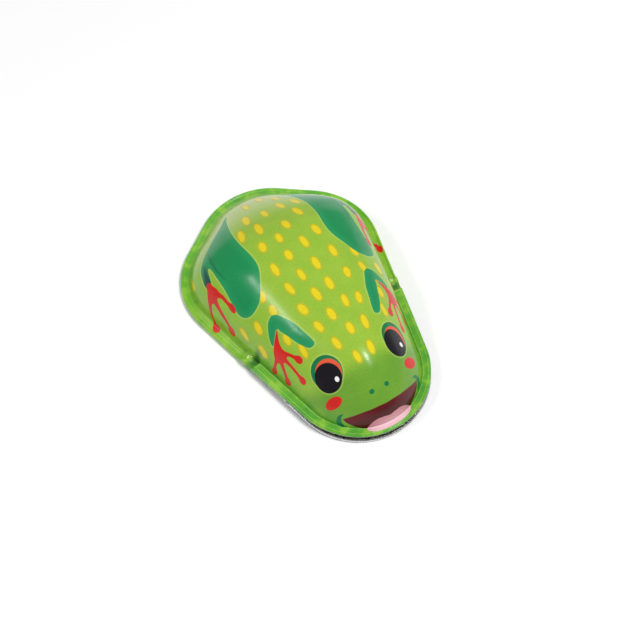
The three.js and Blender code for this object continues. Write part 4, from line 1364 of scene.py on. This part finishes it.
def base_plate():
    """The plate under the rear half, with its two ears."""
    rows = sheet_rows(PLATE_FRONT_Y, PLATE_TIP_Y, LENGTH / 2 - PLATE_INSET, 62, 22)
    points, faces = joined(pressed_sheet(rows, plate_width, PLATE_LOW[2], plate_relief),
                           plate_ear(-EAR_X), plate_ear(EAR_X))
    new_piece("under_plate", points, faces, [PLATE_TIN], "frog", "base_plate", sharp=50)


def hinge_pin():
    """The pin, which ends inside the shell's wall at the crimps."""
    chamfer = 0.12
    r, half = PIN_RADIUS, PIN_HALF_LENGTH - PIN_END_IN_WALL
    profile = [(0, -half), (r - chamfer, -half), (r, -half + chamfer), (r, half - chamfer),
               (r - chamfer, half), (0, half)]
    points, faces = lathe(rounded(profile, [0.05] * 4, 3), PIN, "x", 32)
    new_piece("pin_wire", points, faces, [PIN_STEEL], "frog", "hinge_pin")


WIRE_RADIUS = 0.25
COIL_RADIUS = 1.05
COIL_ANGLES = (math.radians(-80), math.radians(4 * 360 - 162))
COIL_X = (14.3, 10.9)
LEG_GAP = 0.15

# Tips of the legs, (y, z) from the pin: one over the base plate, one over the flap
REAR_LEG_TIP = (7, PLATE_LOW[2] + SHEET + LEG_GAP + WIRE_RADIUS - PIN[2])
FRONT_LEG_TIP = (-8, -KNUCKLE_INNER - 8 * math.tan(FLAP_REST_ANGLE) + LEG_GAP + WIRE_RADIUS)


def spring(side, name, node):
    """A torsion spring on the pin, with a soft bend from the coil to each straight leg."""
    turns = np.linspace(0, 1, 260)
    coil = np.array(round_pin(0, COIL_RADIUS, lerp(COIL_ANGLES[0], COIL_ANGLES[1], turns)))
    coil[:, 0] = lerp(COIL_X[0], COIL_X[1], turns)
    rear_tip = np.array([COIL_X[0], *REAR_LEG_TIP])
    front_tip = np.array([COIL_X[1], *FRONT_LEG_TIP])
    rear = [lerp(rear_tip, coil[0], t) for t in np.linspace(0, 1, 26)[:-1]]
    front = [lerp(coil[-1], front_tip, t) for t in np.linspace(0, 1, 30)[1:]]
    path = np.vstack([rear, coil, front])
    for _ in range(3):
        path[1:-1] = (path[:-2] + 2 * path[1:-1] + path[2:]) / 4
    points, faces = tube(path * np.array([side, 1, 1]) + PIN, WIRE_RADIUS)
    mesh_piece = new_piece(name, points, faces, [SPRING_STEEL], None, node)
    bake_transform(mesh_piece)


BRACKET_WIDTH = 7
BRACKET_SHEET = 0.6
BRACKET_FOOT_Z = 1.45 + BRACKET_SHEET / 2
BRACKET_ARM_Z = 6.4
BRACKET_PATH = [(11.5, BRACKET_FOOT_Z), (3.4, BRACKET_FOOT_Z), (1.2, BRACKET_ARM_Z), (-22, BRACKET_ARM_Z)]
BRACKET_CORNER = 0.9
BRACKET_EDGE = 0.12
BEAD_HEIGHT = 0.16
BEAD_START = 9
BEAD_STOP = 8
BEAD_FADE = 1.5


def cup_bracket():
    """A bent strip with rounded corners and a bead along its arm."""
    line = np.array(rounded(BRACKET_PATH, [1.1, 1.1], 8))
    dense = [line[0]]
    for a, b in zip(line[:-1], line[1:]):
        count = max(1, round(np.linalg.norm(b - a) / 0.5))
        dense += [lerp(a, b, t) for t in np.linspace(0, 1, count + 1)[1:]]
    line = np.array(dense)
    along = np.gradient(line, axis=0)
    along /= np.linalg.norm(along, axis=1, keepdims=True)
    up = np.column_stack([along[:, 1], -along[:, 0]])
    travelled = np.concatenate([[0], np.cumsum(np.linalg.norm(np.diff(line, axis=0), axis=1))])
    total = travelled[-1]
    half, thick = BRACKET_WIDTH / 2, BRACKET_SHEET / 2
    x = np.linspace(-1, 1, 33)
    loops = []
    for place, normal, run in zip(line, up, travelled):
        short = 1 - min(min(run, total - run) / BRACKET_CORNER, 1)
        width = half - BRACKET_CORNER * (1 - math.sqrt(1 - short ** 2))
        bead = BEAD_HEIGHT * between(run, BEAD_START, BEAD_START + BEAD_FADE)
        bead *= between(total - run, BEAD_STOP, BEAD_STOP + BEAD_FADE)
        xs = x * (width - BRACKET_EDGE)
        lift = swage(xs, 1.1, bead)
        over = [(xx, *(place + normal * (thick + h))) for xx, h in zip(xs, lift)]
        below = [(xx, *(place + normal * (h - thick))) for xx, h in zip(xs, lift)][::-1]
        right = [(width, *(place + normal * thick * k)) for k in (0.6, -0.6)]
        left = [(-width, *(place + normal * thick * k)) for k in (-0.6, 0.6)]
        loops.append(over + right + below + left)
    points, faces = grid_solid(np.roll(np.array(loops), 1, axis=1), len(x) + 2)
    new_piece("cup_strap", points, faces, [BRACKET_TIN], "frog", "cup_bracket", sharp=50)


RIVET_RADIUS = 0.8
RIVET_GRIP = 0.2


def rivet(node):
    """A rivet with a flat head below and a domed one above, drawn a little into the sheets."""
    low, high = node_box(node)
    head = (high[0] - low[0]) / 2
    under = PLATE_LOW[2] - RIVET_GRIP
    over = BRACKET_FOOT_Z + BRACKET_SHEET / 2 + RIVET_GRIP
    profile = [(0, low[2]), (head - 0.2, low[2]), (head, low[2] + 0.2), (head, under),
               (RIVET_RADIUS, under), (RIVET_RADIUS, over), (head, over)]
    profile = rounded(profile, [0.1, 0.1, 0.05, 0.05, 0.05], 3)
    for angle in np.radians([8, 20, 34, 48, 62, 76]):
        profile.append((head * math.cos(angle), over + (high[2] - over) * math.sin(angle)))
    profile.append((0, high[2]))
    centre = ((low[0] + high[0]) / 2, (low[1] + high[1]) / 2, 0)
    points, faces = lathe(profile, centre, steps=40)
    new_piece(node + "_body", points, faces, [RIVET_STEEL], "frog", node)


FLAP_DROP_AT_CUP = (PIN[1] - CUP_Y) * math.tan(FLAP_REST_ANGLE)
FLAP_TOP_AT_CUP = PIN[2] - KNUCKLE_INNER * math.cos(FLAP_REST_ANGLE) - FLAP_DROP_AT_CUP
CUP_RIM_Z = FLAP_TOP_AT_CUP + 0.3
CUP_SEAT_GAP = 0.45
CUP_NECK_RADIUS = 1.1
CUP_SHOULDER_RADIUS = 1.9
CUP_HEAD_RADIUS = 1.98

# Section of the cup's lip and back, from the middle of its hollow: (radius, height)
CUP_WALL = [(0, 1.1), (2.4, 0.95), (4.8, 0.3), (5.9, 0.02), (5.98, 0.25), (5, 0.95), (3.4, 1.9), (2.2, 2.5)]


def suction_cup():
    """The cup, its neck through the bracket and the head that holds it there."""
    neck = BRACKET_ARM_Z - BRACKET_SHEET / 2 - CUP_RIM_Z - CUP_SEAT_GAP
    head = neck + BRACKET_SHEET + 2 * CUP_SEAT_GAP
    profile = CUP_WALL + [
        (CUP_SHOULDER_RADIUS, neck - 0.3), (CUP_SHOULDER_RADIUS, neck), (CUP_NECK_RADIUS, neck),
        (CUP_NECK_RADIUS, head), (CUP_HEAD_RADIUS, head), (CUP_HEAD_RADIUS, head + 0.5),
        (1.2, head + 1.12), (0, head + 1.28),
    ]
    radii = [0.9, 0.8, 0.1, 0.1, 0.6, 0.6, 0.4, 0.2, 0.15, 0.15, 0.1, 0.15, 0.3, 0.3]
    points, faces = lathe(rounded(profile, radii, 5), (0, 0, 0), steps=72)
    points = tilted(points, CUP_Y, CUP_RIM_Z)
    new_piece("rubber_cup", points, faces, [RUBBER], "frog", "suction_cup")


jump_flap()
base_plate()
hinge_pin()
spring(-1, "spring_coil_left", "spring_left")
spring(1, "spring_coil_right", "spring_right")
cup_bracket()
rivet("rivet_front")
rivet("rivet_rear")
suction_cup()


# ---- view, light and floor -------------------------------------------------------------------

VIEW_AZIMUTH = math.radians(-31.4)
VIEW_ELEVATION = math.radians(61)
VIEW_DISTANCE = 0.2897
VIEW_TARGET = Vector((-0.00079, -0.00157, 0.002))
LENS = 69.1

# Lamps stand this far off, in metres. The narrow ones draw the highlights, and the wide one fills.
LAMP_DISTANCE = 0.8
ROOM_LIGHT = 0.36
FLOOR_HALF_SIZE = 0.6


def direction(azimuth, elevation):
    """Unit vector from the object towards a viewer or a light."""
    return Vector((math.sin(azimuth) * math.cos(elevation), -math.cos(azimuth) * math.cos(elevation),
                   math.sin(elevation)))


def make_camera():
    camera = bpy.data.objects.new("camera", bpy.data.cameras.new("camera"))
    bpy.context.scene.collection.objects.link(camera)
    back = direction(VIEW_AZIMUTH, VIEW_ELEVATION)
    camera.location = VIEW_TARGET + back * VIEW_DISTANCE
    camera.rotation_mode = "QUATERNION"
    camera.rotation_quaternion = (-back).to_track_quat("-Z", "Y")
    camera.data.lens = LENS
    camera.data.clip_start = 0.01
    bpy.context.scene.camera = camera


def make_floor():
    half = FLOOR_HALF_SIZE
    mesh = bpy.data.meshes.new("floor")
    square = [(-half, -half, 0), (half, -half, 0), (half, half, 0), (-half, half, 0)]
    mesh.from_pydata(square, [], [(0, 1, 2, 3)])
    floor = bpy.data.objects.new("floor", mesh)
    bpy.context.scene.collection.objects.link(floor)
    shader = Shader("floor_white")
    paper = shader.noise(shader.position(), 0.8, 3.0)
    shader.set(Base_Color=shader.mix(paper, srgb(249, 249, 249), srgb(251, 251, 251)), Roughness=0.8)
    mesh.materials.append(shader.material)


def softbox(name, azimuth, elevation, size, power, glossy=True):
    """A soft lamp aimed at the object. Angles in degrees, size in metres, power in watts."""
    light = bpy.data.objects.new(name, bpy.data.lights.new(name, "AREA"))
    light.data.shape = "RECTANGLE"
    light.data.size, light.data.size_y = size
    light.data.energy = power
    light.visible_glossy = glossy
    bpy.context.scene.collection.objects.link(light)
    towards = direction(math.radians(azimuth), math.radians(elevation))
    light.location = towards * LAMP_DISTANCE
    light.rotation_mode = "QUATERNION"
    light.rotation_quaternion = towards.to_track_quat("Z", "Y")


def make_light():
    world = bpy.data.worlds.new("studio")
    world.use_nodes = True
    background = world.node_tree.nodes["Background"]
    background.inputs["Color"].default_value = (1, 1, 1, 1)
    background.inputs["Strength"].default_value = ROOM_LIGHT
    bpy.context.scene.world = world
    softbox("softbox_left", azimuth=-108, elevation=47, size=(0.36, 0.08), power=1.25)
    softbox("softbox_top", azimuth=37, elevation=66, size=(0.1, 0.1), power=1.4)
    softbox("fill", azimuth=37, elevation=66, size=(0.3, 0.3), power=3.1, glossy=False)
    bpy.context.scene.view_settings.view_transform = "Standard"


make_camera()
make_floor()
make_light()


def corners(box):
    return [list(corner) for corner in box]
